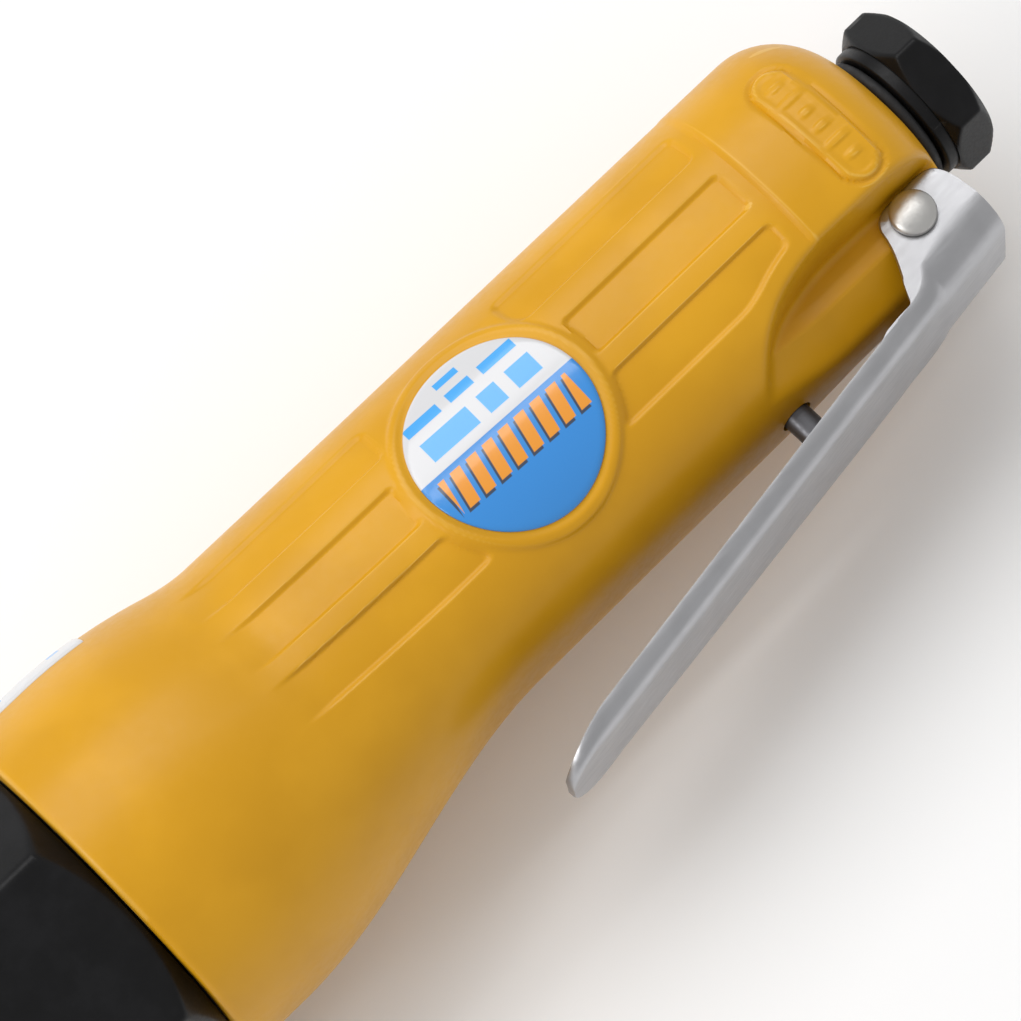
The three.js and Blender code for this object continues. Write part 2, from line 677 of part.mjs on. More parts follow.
const SHAFT_CLEARANCE = 0.3;
const bearingBore = CRANK_SHAFT_RADIUS + SHAFT_CLEARANCE;
const bearingRadius = CRANK_BORE_RADIUS - GAP;
add('carrier_bearing', tubeX([-10, 3.7], bearingRadius, bearingBore), 'bronze');
add('bearing_spacer', tubeX([-63.7, -10.3], bearingRadius, bearingBore + 1), 'dark_steel');
add('crank_bearing', tubeX([-79.7, -64], bearingRadius, bearingBore), 'bronze');
add('drive_bushing', turnedX(loop([
  [HEAD_X + 20, CRANK_PIN_RADIUS + 0.2], [HEAD_X + 20, 3.1], [HEAD_X + 22, DRIVE_BUSHING_RADIUS],
  [HEAD_X + 26, DRIVE_BUSHING_RADIUS], [HEAD_X + 28, 3.1], [HEAD_X + 28, CRANK_PIN_RADIUS + 0.2],
]), SMALL_SIDES).translate(0, CRANK_THROW, 0), 'steel');

// ---------------------------------------------------------------------------------------
// Clamp nut
// ---------------------------------------------------------------------------------------

function clampNut() {
  const span = [NUT_START, -GAP];
  const cornerRadius = NUT_FLATS / 2 / Math.cos(Math.PI / 6);
  const hex = prismX(shapeOf(polygon(6, NUT_FLATS, NUT_TURN)), span);
  const spigot = rodX([-2, SPIGOT_LENGTH], GEAR_BORE_RADIUS - 0.5);
  const body = join(bevelled(hex, span, NUT_FLATS, cornerRadius, 1), spigot);
  return cut(
    body,
    rodX([NUT_START - 1, SPIGOT_LENGTH + 1], NECK_RADIUS + GAP),
    rodX([RING_GROOVE[0], SPIGOT_LENGTH + 1], 16.6),
  );
}

// A split ring in the neck's groove that the nut pulls on.
function clampRing() {
  const span = [RING_GROOVE[0] + GAP, RING_GROOVE[1] - GAP];
  return cut(tubeX(span, 16.3, 11.7), block([-20, 0], [-1, 1], [0, 30]));
}

add('clamp_nut', clampNut(), 'black_oxide');
add('clamp_ring', clampRing(), 'steel');

// ---------------------------------------------------------------------------------------
// Ratchet head
// ---------------------------------------------------------------------------------------

// The neck is round behind the nut and turns into a wide, flat section at the head.
function neckSection(x, angle) {
  const along = THREE.MathUtils.clamp((NUT_START - x) / (NUT_START - HEAD_X - 20), 0, 1);
  const waist = Math.sin(Math.PI * Math.min(1, along * 1.05));
  const halfThickness = THREE.MathUtils.lerp(15.2, 11.8, THREE.MathUtils.smoothstep(along, 0, 0.7));
  const halfWidth = THREE.MathUtils.lerp(15.2, 17.6, along ** 2) - 1.6 * waist;
  const n = THREE.MathUtils.lerp(2, 3, along);
  const across = Math.abs(Math.cos(angle) / halfThickness) ** n + Math.abs(Math.sin(angle) / halfWidth) ** n;
  const radius = across ** (-1 / n);
  return [radius * Math.cos(angle), radius * Math.sin(angle)];
}

function ratchetHead() {
  const stations = [HEAD_X + 4, HEAD_X + 18, -80, -66, -52, -40, -31, NUT_START - GAP];
  const neck = loft(stations, neckSection);
  const disc = turnedY([
    [HEAD_DRIVE_FACE, 0], [HEAD_DRIVE_FACE, HEAD_RADIUS - 1], [HEAD_DRIVE_FACE + 1, HEAD_RADIUS],
    [HEAD_KNOB_FACE - 2, HEAD_RADIUS], [HEAD_KNOB_FACE, HEAD_RADIUS - 2], [HEAD_KNOB_FACE, 0],
  ]).translate(HEAD_X, 0, 0);
  const collar = rodX([NUT_START - 2, NECK_END], NECK_RADIUS);
  const groove = tubeX(RING_GROOVE, 20, 11.4);
  const drivePocket = turnedY([
    [-40, 0], [-40, 16.6], [-8.8, 16.6], [-8.8, 17.6], [-6.7, 17.6], [-6.7, 16.6], [7, 16.6], [7, 8.7],
    [40, 8.7], [40, 0],
  ]).translate(HEAD_X, 0, 0);
  const forkRoom = block([HEAD_X, HEAD_X + 28.4], [-7, 7], [-13.6, 13.6]);
  const crankBore = rodX([HEAD_X + 20, 20], CRANK_BORE_RADIUS);
  return cut(join(neck, disc, collar), groove, drivePocket, forkRoom, crankBore);
}

// Internal ratchet teeth: pointed, one tip on +X.
function ratchetOutline(shrink) {
  const points = [];
  for (let i = 0; i < 2 * RATCHET_TEETH; i += 1) {
    const angle = (i * Math.PI) / RATCHET_TEETH;
    const radius = (i % 2 === 0 ? RATCHET_TIP_RADIUS : RATCHET_ROOT_RADIUS) - shrink;
    points.push([radius * Math.cos(angle), radius * Math.sin(angle)]);
  }
  return points;
}

// The fork's gap leaves room for the whole throw of the crank.
function ratchetYoke() {
  const gap = CRANK_THROW + DRIVE_BUSHING_RADIUS + 0.25;
  const span = [-YOKE_HALF_THICKNESS, YOKE_HALF_THICKNESS];
  const ring = rodY(span, YOKE_RADIUS);
  const prongs = [1, -1].map((side) => {
    const inner = side * gap;
    const outer = side * (gap + 2.8);
    return block([8, CRANK_REACH + 3.4], span, [Math.min(inner, outer), Math.max(inner, outer)]);
  });
  const bore = plateY(shapeOf(ratchetOutline(0)), [-20, 20]);
  return cut(join(ring, ...prongs), bore).translate(HEAD_X, 0, 0);
}

function anvil() {
  const body = join(
    rodY([-YOKE_HALF_THICKNESS, YOKE_HALF_THICKNESS], ANVIL_RADIUS),
    rodY([SQUARE_START, 0], 9.9),
    rodY([0, HEAD_KNOB_FACE - 0.3], 8.4),
    block([-SQUARE / 2, SQUARE / 2], [SQUARE_END, 0], [-SQUARE / 2, SQUARE / 2]),
  );
  const tipBevel = common(body, turnedY([
    [SQUARE_END, 0], [SQUARE_END, SQUARE / 2], [SQUARE_END + 2.6, SQUARE * 0.71], [SQUARE_START, SQUARE],
    [HEAD_KNOB_FACE, SQUARE], [HEAD_KNOB_FACE, 0],
  ]));
  const pawlPocket = block([-14, -2.2], [-3.9, 3.9], [-10.7, 10.7]);
  const knobBore = rodY([-4, 20], KNOB_STEM_RADIUS + GAP, SMALL_SIDES);
  const pawlPinHole = rodY([-5.6, 5.6], 1.65, 12).translate(PAWL_PIVOT, 0, 0);
  const ballHole = rodX([-10, 1.2], BALL_RADIUS + 0.25, SMALL_SIDES).translate(0, BALL_Y, 0);
  return cut(tipBevel, pawlPocket, knobBore, pawlPinHole, ballHole).translate(HEAD_X, 0, 0);
}

// One toothed end of the pawl: the teeth as they mesh, swung back to the middle position.
function pawlEnd(side) {
  const points = [];
  for (let step = 8; step <= 14; step += 1) {
    const radius = (step % 2 === 1 ? RATCHET_ROOT_RADIUS : RATCHET_TIP_RADIUS) - PAWL_CLEARANCE;
    const angle = (step * Math.PI) / RATCHET_TEETH;
    const along = -radius * Math.cos(angle) - PAWL_PIVOT;
    const across = radius * Math.sin(angle);
    const x = along * Math.cos(PAWL_SWING) + across * Math.sin(PAWL_SWING) + PAWL_PIVOT;
    const z = across * Math.cos(PAWL_SWING) - along * Math.sin(PAWL_SWING);
    points.push([x, side * z]);
  }
  return points;
}

function pawl() {
  const outline = [[-5, -5.5], [-5, 5.5], ...pawlEnd(1).reverse(), ...pawlEnd(-1)];
  const plate = plateY(shapeOf(outline), [-PAWL_HALF_THICKNESS, PAWL_HALF_THICKNESS]);
  const hole = rodY([-10, 10], 1.65, 12).translate(PAWL_PIVOT, 0, 0);
  return cut(plate, hole).translate(HEAD_X, 0, 0);
}

function reverseKnob() {
  const rim = HEAD_KNOB_FACE + 2.2;
  const disc = turnedY([
    [-3.6, 0], [-3.6, KNOB_STEM_RADIUS], [HEAD_KNOB_FACE + 0.2, KNOB_STEM_RADIUS], [HEAD_KNOB_FACE + 0.2, 8],
    [rim - 0.5, 8], [rim, 7.5], [rim, 0],
  ]);
  const grip = block([-7, 7], [rim - 0.5, rim + 4], [-1.8, 1.8]);
  const plungerHole = rodX([-5, 1.6], 1.35, 12);
  return cut(join(disc, grip), plungerHole).translate(HEAD_X, 0, 0);
}

function pawlPlunger() {
  return turnedX([[-4.55, 0], [-4.2, 0.7], [-3.7, 1.05], [-1.3, 1.05], [-1.3, 0]], 12).translate(HEAD_X, 0, 0);
}

function retainingRing() {
  const gap = block([0, 30], [-20, 20], [-1.6, 1.6]);
  return cut(tubeY([-8.5, -7], 17.3, 14.4), gap).translate(HEAD_X, 0, 0);
}

add('ratchet_head', ratchetHead(), 'black_oxide');
add('ratchet_yoke', ratchetYoke(), 'dark_steel');
add('anvil', anvil(), 'steel');
add('pawl', pawl(), 'dark_steel');
add('pawl_pin', rodY([-5.2, 5.2], 1.4, 12).translate(HEAD_X + PAWL_PIVOT, 0, 0), 'steel');
add('reverse_knob', reverseKnob(), 'black_oxide');
add('pawl_plunger', pawlPlunger(), 'steel');
add('pawl_spring', springX([-1.1, 1.4], 0.75, 0.2, 3).translate(HEAD_X, 0, 0), 'steel');
add('friction_washer', tubeY([5.3, 6.6], 16.2, 8.8).translate(HEAD_X, 0, 0), 'steel');
add('thrust_washer', tubeY([-6.6, -5.3], 16.3, 10.2).translate(HEAD_X, 0, 0), 'bronze');
add('retaining_ring', retainingRing(), 'dark_steel');

const ball = new THREE.SphereGeometry(BALL_RADIUS, 12, 8);
add('socket_ball', ball.translate(HEAD_X + BALL_X, BALL_Y, 0), 'steel');
add('socket_ball_spring', springX([-2.4, 1], 1.5, 0.25, 3).translate(HEAD_X, BALL_Y, 0), 'steel');

// ---------------------------------------------------------------------------------------
// Origin: under the middle of the whole tool's box
// ---------------------------------------------------------------------------------------

const box = new THREE.Box3().setFromObject(tool);
const middle = box.getCenter(new THREE.Vector3());
tool.position.set(-middle.x, -middle.y, -box.min.z);

export default tool;
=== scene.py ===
"""The looks of an air ratchet wrench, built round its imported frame. Blender 4.5.

Shapes are worked out in millimetres in the tool's own axes, with the motor axis on y = 0, z = 0
and the housing's front face at x = 0, and are moved to the row frame, in metres, as each mesh is
made. +X runs to the air inlet, the lever and the square drive are on -Y, and the label faces +Z.
"""

import json
import math

import bmesh
import bpy
import numpy as np
from mathutils import Matrix, Vector


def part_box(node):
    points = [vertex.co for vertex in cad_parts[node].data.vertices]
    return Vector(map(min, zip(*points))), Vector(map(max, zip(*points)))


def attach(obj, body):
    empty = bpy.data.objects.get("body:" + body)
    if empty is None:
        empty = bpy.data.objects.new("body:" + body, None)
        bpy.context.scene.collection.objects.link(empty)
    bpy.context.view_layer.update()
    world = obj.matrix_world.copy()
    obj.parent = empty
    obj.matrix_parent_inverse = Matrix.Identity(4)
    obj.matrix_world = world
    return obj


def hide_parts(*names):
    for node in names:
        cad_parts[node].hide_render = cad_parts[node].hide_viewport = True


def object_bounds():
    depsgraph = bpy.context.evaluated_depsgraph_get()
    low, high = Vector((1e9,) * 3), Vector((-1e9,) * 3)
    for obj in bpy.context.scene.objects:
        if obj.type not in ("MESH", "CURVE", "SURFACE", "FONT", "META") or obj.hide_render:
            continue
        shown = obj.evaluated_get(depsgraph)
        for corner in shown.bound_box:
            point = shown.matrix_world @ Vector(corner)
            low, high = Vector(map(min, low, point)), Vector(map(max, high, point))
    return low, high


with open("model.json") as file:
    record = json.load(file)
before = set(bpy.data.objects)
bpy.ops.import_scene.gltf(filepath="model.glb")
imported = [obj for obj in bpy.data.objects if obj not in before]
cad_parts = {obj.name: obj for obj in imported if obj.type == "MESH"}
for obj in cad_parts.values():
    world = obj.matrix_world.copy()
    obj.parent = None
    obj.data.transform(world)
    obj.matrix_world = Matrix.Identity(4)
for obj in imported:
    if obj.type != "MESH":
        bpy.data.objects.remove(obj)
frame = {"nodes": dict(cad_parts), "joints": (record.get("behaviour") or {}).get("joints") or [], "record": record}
CAD_LOW, CAD_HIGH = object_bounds()
JOINT_AT = {j["name"]: j["pos_m"] for j in frame["joints"] if "pos_m" in j}

MM = 0.001
ORIGIN = np.array([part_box("motor_housing")[0].x, JOINT_AT["crank_spin"][1], JOINT_AT["crank_spin"][2]])


def in_tool(point_m):
    """A point of the row frame, in metres, as millimetres in the tool's own axes."""
    return (np.array(point_m) - ORIGIN) / MM


HEAD_X = in_tool(JOINT_AT["anvil_spin"])[0]
PIVOT_X, PIVOT_Y, _ = in_tool(JOINT_AT["lever_press"])
HOUSING_END = in_tool(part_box("motor_housing")[1])[0]
NUT_START = in_tool(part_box("clamp_nut")[0])[0]
LEVER_TIP = in_tool(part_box("throttle_lever")[0])[0]
LEVER_HEEL = in_tool(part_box("throttle_lever")[1])[0]
INLET_END = in_tool(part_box("inlet_bushing")[1])[0]
SQUARE_END = in_tool(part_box("anvil")[0])[1]
HEAD_DRIVE_FACE = in_tool(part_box("ratchet_head")[0])[1]

# ---- Driving dimensions, in millimetres --------------------------

NOSE_RADIUS = 23.1
GRIP_AXIS = 1.85
GRIP_HALF_WIDTH = 17.9
GRIP_HALF_HEIGHT = 16.6
GRIP_TAPER = 0.007
GRIP_SQUARENESS = 2.3
FLARE_START = 8
FLARE_END_FAR = 28
FLARE_END_NEAR = 51
TAIL_ROUNDING = 9
TAIL_BLOCK_START = 103
TAIL_BLOCK_STEP = 0.7
FRONT_ROUNDING = 0.8
HOUSING_COLUMNS = 470
COLUMN_CROWDING = 0.35

EAR_FLAT = 7
EAR_CUT_START = 84
RECESS_CURVE = ((87, -18), (91, -7.6), (104, -7))
RECESS_RUN_OUT = 3.6
RECESS_RUN_OUT_SPAN = (86, 101)
RECESS_CHAMFER_TOP = -11.1
RECESS_CHAMFER_SLOPE = 0.85

LABEL_X = 64.5
LABEL_RADIUS = 11
LABEL_PROUD = 0.3
BEAD_RADIUS = 12.05
BEAD_HEIGHT = 0.42

PANEL_FACE_Z = 6
PANEL_START = 24
PANEL_FADE = (26, 32)
PANEL_TAIL_END = 101.2
PANEL_CORNER = 0.8
PANEL_TO_LABEL = 13.3
PANEL_TO_RECESS = 2.2
FAR_PANEL_END = 44.5

BADGE_X = 113.0
BADGE_MIDDLE = 0.9
BADGE_LEAN = 0.04
BADGE_HALF_WIDTH = 2.8
BADGE_SPAN = (-9.1, 8.7)
BADGE_GROOVE_DEPTH = 0.3
BADGE_RIM_HEIGHT = 0.16
BADGE_BARS = 6
BADGE_FIRST_BAR = 5.8
BADGE_BAR_PITCH = 2.3
BADGE_BAR_HEIGHT = 0.2

SLOT_COUNT = 5
SLOT_START = 48
SLOT_PITCH = 3.6
SLOT_WIDTH = 1.7

VALVE_X = 91
STEM_RADIUS = 1.75
LEVER_SHEET = 1.2
EAR_MIDDLE = 7.85
LEVER_BACK_AT_PIVOT = -18.75
LEVER_SLOPE = 0.137
LEVER_BEND = 1.7
LEVER_BEND_GROWTH = 1.9
LEVER_LIP = 2.3
LEVER_CORNER = 6
LEVER_NARROWING = 1.65
LEVER_NARROW_FROM = 95
LEVER_FOOT_END = 121.4

NUT_FLATS = 41
NUT_TURN = 85.4
INLET_HEX_START = 125
INLET_HEX_FLATS = 18.6
INLET_HEX_TURN = 82
INLET_HEX_CHAMFER = 1.5
NECK_RADIUS = 15.2
NECK_END_HALF_THICKNESS = 11.8
NECK_END_HALF_WIDTH = 17.6
NECK_WAIST = 1.6
HEAD_RADIUS = 19
HEAD_KNOB_FACE = 12
SQUARE = 12.7


# ---- Small mathematics -------------------------------------------


def smooth_step(value, start, end):
    share = np.clip((value - start) / (end - start), 0, 1)
    return share * share * (3 - 2 * share)


def smooth_min(a, b, reach):
    share = np.clip(0.5 + 0.5 * (b - a) / reach, 0, 1)
    return b * (1 - share) + a * share - reach * share * (1 - share)


def smooth_max(a, b, reach):
    return -smooth_min(-a, -b, reach)


def box_distance(x, y, x_span, y_span, corner):
    """Signed distance to a rectangle with rounded corners, less than 0 inside."""
    dx = np.abs(x - sum(x_span) / 2) - (x_span[1] - x_span[0]) / 2 + corner
    dy = np.abs(y - sum(y_span) / 2) - (y_span[1] - y_span[0]) / 2 + corner
    outside = np.hypot(np.maximum(dx, 0), np.maximum(dy, 0))
    return outside + np.minimum(np.maximum(dx, dy), 0) - corner


def rounded(corners, reach, steps=4):
    """A profile with a short curve in place of each corner between its two ends."""
    points = [np.array(c, float) for c in corners]
    out = [points[0]]
    for before, corner, after in zip(points, points[1:], points[2:]):
        ends = []
        for other in (before, after):
            gap = np.linalg.norm(other - corner)
            ends.append(corner + (other - corner) * min(reach, 0.45 * gap) / max(gap, 1e-9))
        for i in range(steps + 1):
            t = i / steps
            out.append(ends[0] * (1 - t) ** 2 + corner * 2 * t * (1 - t) + ends[1] * t * t)
    out.append(points[-1])
    return out


def slope(start, end, steps):
    """Corners spaced evenly from one corner to another, with both ends."""
    return [tuple(corner) for corner in np.linspace(start, end, steps + 1)]


def polygon_radius(angle, sides, flats, turn_deg, corner):
    """Radius of a regular polygon's outline at an angle, with its corners a little rounded."""
    sector = 2 * math.pi / sides
    off = np.abs(np.mod(angle - math.radians(turn_deg), sector) - sector / 2)
    face = flats / 2 / np.cos(off)
    next_face = flats / 2 / np.cos(np.minimum(sector - off, 1.5))
    return smooth_min(face, next_face, corner)


# ---- Meshes ------------------------------------------------------

AXES = {
    "x": lambda along, a, b: (along, a, b),
    "y": lambda along, a, b: (b, along, a),
    "z": lambda along, a, b: (a, b, along),
}


def add_object(name, data):
    obj = bpy.data.objects.new(name, data)
    bpy.context.scene.collection.objects.link(obj)
    return obj


def make_object(name, points, faces):
    mesh = bpy.data.meshes.new(name)
    mesh.from_pydata((np.asarray(points).reshape(-1, 3) * MM + ORIGIN).tolist(), [], faces)
    work = bmesh.new()
    work.from_mesh(mesh)
    bmesh.ops.recalc_face_normals(work, faces=work.faces)
    work.to_mesh(mesh)
    work.free()
    return add_object(name, mesh)


def grid_faces(rows, columns, wrap_rows=False):
    """Four-sided faces between rows of points that are each a loop."""
    i = np.arange(rows if wrap_rows else rows - 1)[:, None]
    j = np.arange(columns)[None, :]
    i_next, j_next = (i + 1) % rows, (j + 1) % columns
    corners = [i * columns + j, i * columns + j_next, i_next * columns + j_next, i_next * columns + j]
    return np.stack(corners, -1).reshape(-1, 4).tolist()


def tube(name, rows):
    """A closed skin through rows of points, each row a loop, with a flat cap at both ends."""
    count, columns = rows.shape[:2]
    faces = grid_faces(count, columns)
    faces.append(list(range(columns))[::-1])
    faces.append(list(range((count - 1) * columns, count * columns)))
    return make_object(name, rows, faces)


def ring(name, rows):
    """A closed skin through rows of points whose last row joins the first."""
    return make_object(name, rows, grid_faces(len(rows), rows.shape[1], wrap_rows=True))


def turned_rows(profile, axis, centre, radius_at, segments):
    """Rows of points of a turned piece from [along, radius] corners."""
    angle = np.arange(segments) * 2 * math.pi / segments
    rows = []
    for along, limit in profile:
        radius = radius_at(angle, limit) if radius_at else np.full(segments, limit)
        point = AXES[axis](np.full(segments, along), radius * np.cos(angle), radius * np.sin(angle))
        rows.append(np.stack(point, -1) + np.array(centre))
    return np.array(rows)


def turned(name, profile, axis="x", centre=(0, 0, 0), closed=False, radius_at=None, segments=96):
    """A turned piece. An open profile starts and ends near the axis, and is capped there."""
    corners = profile if closed else [c for c in profile if c[1] > 0]
    rows = turned_rows(corners, axis, centre, radius_at, segments)
    return ring(name, rows) if closed else tube(name, rows)


def faceted(sides, flats, turn_deg, corner, edge, bore=0):
    """radius_at for a prism whose flats are cut by the turned profile."""

    def radius_at(angle, limit):
        if limit <= bore:
            return np.full(len(angle), limit)
        outline = polygon_radius(angle, sides, flats, turn_deg, corner)
        return smooth_min(outline, np.full(len(angle), limit), edge)

    return radius_at


def prism(name, outline, axis, span):
    """A plate with the given outline across an axis."""
    return tube(name, np.array([[AXES[axis](along, a, b) for a, b in outline] for along in span]))


def rounded_rectangle(a_span, b_span, corner, steps=5):
    """Outline of a rectangle with rounded corners."""
    points = []
    for quarter in range(4):
        a = a_span[1] - corner if quarter in (0, 3) else a_span[0] + corner
        b = b_span[1] - corner if quarter in (0, 1) else b_span[0] + corner
        for i in range(steps + 1):
            angle = (quarter + i / steps) * math.pi / 2
            points.append((a + corner * math.cos(angle), b + corner * math.sin(angle)))
    return points


def settle(obj):
    """Applies the object's modifiers."""
    graph = bpy.context.evaluated_depsgraph_get()
    mesh = bpy.data.meshes.new_from_object(obj.evaluated_get(graph))
    obj.modifiers.clear()
    obj.data = mesh
    return obj


def bevel_edges(obj, width, segments=3, angle=30):
    modifier = obj.modifiers.new("bevel", "BEVEL")
    modifier.width = width * MM
    modifier.segments = segments
    modifier.limit_method = "ANGLE"
    modifier.angle_limit = math.radians(angle)
    return settle(obj)


def combine(body, operation, *tools):
    """Joins tools to the body, or cuts them from it, and removes them."""
    for tool in tools:
        modifier = body.modifiers.new("combine", "BOOLEAN")
        modifier.operation = operation
        modifier.solver = "MANIFOLD"
        modifier.object = tool
        settle(body)
        bpy.data.objects.remove(tool)
    return body


def remesh(obj, voxel, smoothing):
    """Melts joined shapes into one skin with soft inner corners."""
    modifier = obj.modifiers.new("remesh", "REMESH")
    modifier.mode = "VOXEL"
    modifier.voxel_size = voxel * MM
    modifier = obj.modifiers.new("smooth", "SMOOTH")
    modifier.factor = 0.5
    modifier.iterations = smoothing
    return settle(obj)


def finish_piece(obj, body, slot, replaces, sharp=35, material=None):
    """Shades a piece, gives it its own material or its slot's, and ties it to the frame."""
    mesh = obj.data
    mesh.polygons.foreach_set("use_smooth", [True] * len(mesh.polygons))
    mesh.set_sharp_from_angle(angle=math.radians(sharp))
    mesh.materials.clear()
    mesh.materials.append(material or MATERIALS[slot])
    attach(obj, body)
    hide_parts(*replaces)


# ---- Materials ---------------------------------------------------


class Signal:
    """A node's output that can be added, scaled and compared as a number is."""

    def __init__(self, graph, socket):
        self.graph = graph
        self.socket = socket

    def math(self, operation, *others):
        return self.graph.math(operation, self, *others)

    def __add__(self, other):
        return self.math("ADD", other)

    def __sub__(self, other):
        return self.math("SUBTRACT", other)

    def __mul__(self, other):
        return self.math("MULTIPLY", other)

    def abs(self):
        return self.math("ABSOLUTE")

    def max(self, other):
        return self.math("MAXIMUM", other)

    def below(self, limit, soft=0.06):
        """1 where the signal is under the limit and 0 over it, with a soft edge."""
        return self.graph.ramp(self, limit + soft, limit - soft)


class Graph:
    """A material's nodes, and short ways to make and join them."""

    def __init__(self, name, color, roughness, metallic=0.0, **settings):
        self.material = bpy.data.materials.new(name)
        self.material.use_nodes = True
        self.tree = self.material.node_tree
        self.shader = self.tree.nodes["Principled BSDF"]
        values = {"Base Color": (*color, 1), "Roughness": roughness, "Metallic": metallic, **settings}
        for socket, value in values.items():
            self.shader.inputs[socket].default_value = value

    def put(self, value, socket):
        if isinstance(value, Signal):
            self.tree.links.new(value.socket, socket)
        elif value is not None:
            socket.default_value = value

    def drive(self, socket, value):
        self.put(value, self.shader.inputs[socket])

    def node(self, kind, output, settings=None, **inputs):
        made = self.tree.nodes.new(kind)
        for key, value in (settings or {}).items():
            setattr(made, key, value)
        for key, value in inputs.items():
            self.put(value, made.inputs[key.replace("_", " ")])
        return Signal(self, made.outputs[output])

    def math(self, operation, *values):
        made = self.tree.nodes.new("ShaderNodeMath")
        made.operation = operation
        for i, value in enumerate(values):
            self.put(value, made.inputs[i])
        return Signal(self, made.outputs[0])

    def ramp(self, value, start, end, low=0.0, high=1.0):
        made = self.tree.nodes.new("ShaderNodeMapRange")
        made.interpolation_type = "SMOOTHSTEP"
        for i, each in enumerate((value, start, end, low, high)):
            self.put(each, made.inputs[i])
        return Signal(self, made.outputs[0])

    def mix(self, share, first, second):
        made = self.tree.nodes.new("ShaderNodeMix")
        made.data_type = "RGBA"
        for key, value in ((0, share), (6, first), (7, second)):
            if isinstance(value, tuple):
                value = (*value, 1)
            self.put(value, made.inputs[key])
        return Signal(self, made.outputs[2])

    def place(self, stretch=(1, 1, 1), centre=(0, 0, 0), turn_deg=0):
        """Object coordinates in millimetres from a centre in the tool's own axes."""
        coordinates = self.node("ShaderNodeTexCoord", "Object")
        shift = Vector(np.array(centre) * MM + ORIGIN)
        moved = self.node("ShaderNodeVectorMath", 0, {"operation": "SUBTRACT"}, Vector=coordinates)
        moved.socket.node.inputs[1].default_value = shift
        turned_by = self.node("ShaderNodeMapping", 0, {"vector_type": "POINT"}, Vector=moved)
        turned_by.socket.node.inputs["Rotation"].default_value = (0, 0, math.radians(turn_deg))
        turned_by.socket.node.inputs["Scale"].default_value = Vector(stretch) / MM
        return turned_by

    def split(self, vector):
        made = self.tree.nodes.new("ShaderNodeSeparateXYZ")
        self.put(vector, made.inputs[0])
        return [Signal(self, made.outputs[i]) for i in range(3)]

    def noise(self, size, detail=3.0, rough=0.5, stretch=(1, 1, 1)):
        """Smooth noise about 0.5 whose lumps are about size millimetres wide."""
        place = self.place(stretch=stretch)
        inputs = {"Vector": place, "Scale": 1 / size, "Detail": detail, "Roughness": rough}
        return self.node("ShaderNodeTexNoise", 0, **inputs)

    def bump(self, height, depth):
        """Bends the normal by a height signal from 0 to 1 that stands for depth millimetres."""
        made = self.tree.nodes.new("ShaderNodeBump")
        made.inputs["Strength"].default_value = 1
        made.inputs["Distance"].default_value = depth * MM
        self.put(height, made.inputs["Height"])
        self.drive("Normal", Signal(self, made.outputs[0]))

    def edge(self, width):
        """About 1 on an outer edge and 0 elsewhere, from the mesh's own curvature."""
        geometry = self.node("ShaderNodeNewGeometry", "Pointiness")
        return self.ramp(geometry, 0.5 + width * 0.5, 0.5 + width)


WEAR_AND_HIGHLIGHT_REACH = 12.4


def yellow_paint():
    """Paint with a faint cloud of tone, lighter on the edges within reach of the grip's axis: partly wear, partly
    a painted highlight.
    """
    coat = {"Specular IOR Level": 0.3, "Coat Weight": 0.08, "Coat Roughness": 0.2}
    paint = Graph("yellow_paint", (0.66, 0.33, 0.006), 0.36, **coat)
    cloud = paint.noise(14, 3)
    speck = paint.noise(1.1, 3, 0.6)
    tone = paint.ramp(cloud, 0.35, 0.65)
    color = paint.mix(tone, (0.62, 0.300, 0.004), (0.68, 0.335, 0.007))
    _, across, _ = paint.split(paint.place(centre=(0, GRIP_AXIS, 0)))
    on_faces = paint.ramp(across.abs(), WEAR_AND_HIGHLIGHT_REACH + 0.5, WEAR_AND_HIGHLIGHT_REACH)
    # Lighter edges on the grip's faces: partly wear, partly a painted highlight along the edges.
    wear_and_highlight = paint.edge(0.04) * on_faces * 0.3
    paint.drive("Base Color", paint.mix(wear_and_highlight, color, (0.88, 0.60, 0.16)))
    paint.drive("Roughness", paint.ramp(speck, 0.3, 0.7, 0.33, 0.42))
    paint.bump(paint.noise(0.9, 2, 0.5), 0.012)
    return paint.material


def black_oxide():
    steel = Graph("black_oxide", (0.012, 0.012, 0.013), 0.36, 0.05, **{"Specular IOR Level": 0.2})
    patch = steel.noise(6, 4, 0.6)
    grain = steel.noise(0.35, 2, 0.6)
    tone = steel.mix(steel.ramp(patch, 0.35, 0.7), (0.005, 0.005, 0.0055), (0.009, 0.009, 0.010))
    # Lighter edges in patches: partly wear, partly a painted highlight on the edges.
    wear_and_highlight = steel.edge(0.12) * steel.ramp(steel.noise(2.5, 3, 0.6), 0.4, 0.7)
    steel.drive("Base Color", steel.mix(wear_and_highlight, tone, (0.07, 0.07, 0.07)))
    steel.drive("Roughness", steel.ramp(grain, 0.3, 0.7, 0.32, 0.42))
    steel.bump(grain, 0.006)
    return steel.material


def satin_metal(name, color, roughness, stretch=(1, 1, 1), size=0.4, depth=0.004):
    """A plated or ground metal, its grain drawn out along the way it was worked."""
    metal = Graph(name, color, roughness, 1.0)
    grain = metal.noise(size, 3, 0.6, stretch)
    cloud = metal.noise(5, 3)
    darker = tuple(0.93 * c for c in color)
    metal.drive("Base Color", metal.mix(metal.ramp(cloud, 0.35, 0.65), darker, color))
    metal.drive("Roughness", metal.ramp(grain, 0.25, 0.75, roughness - 0.05, roughness + 0.09))
    metal.bump(grain, depth)
    return metal.material


def rubber():
    seal = Graph("seal_rubber", (0.012, 0.012, 0.013), 0.62)
    seal.drive("Roughness", seal.ramp(seal.noise(1.5), 0.3, 0.7, 0.55, 0.75))
    seal.bump(seal.noise(0.3), 0.01)
    return seal.material


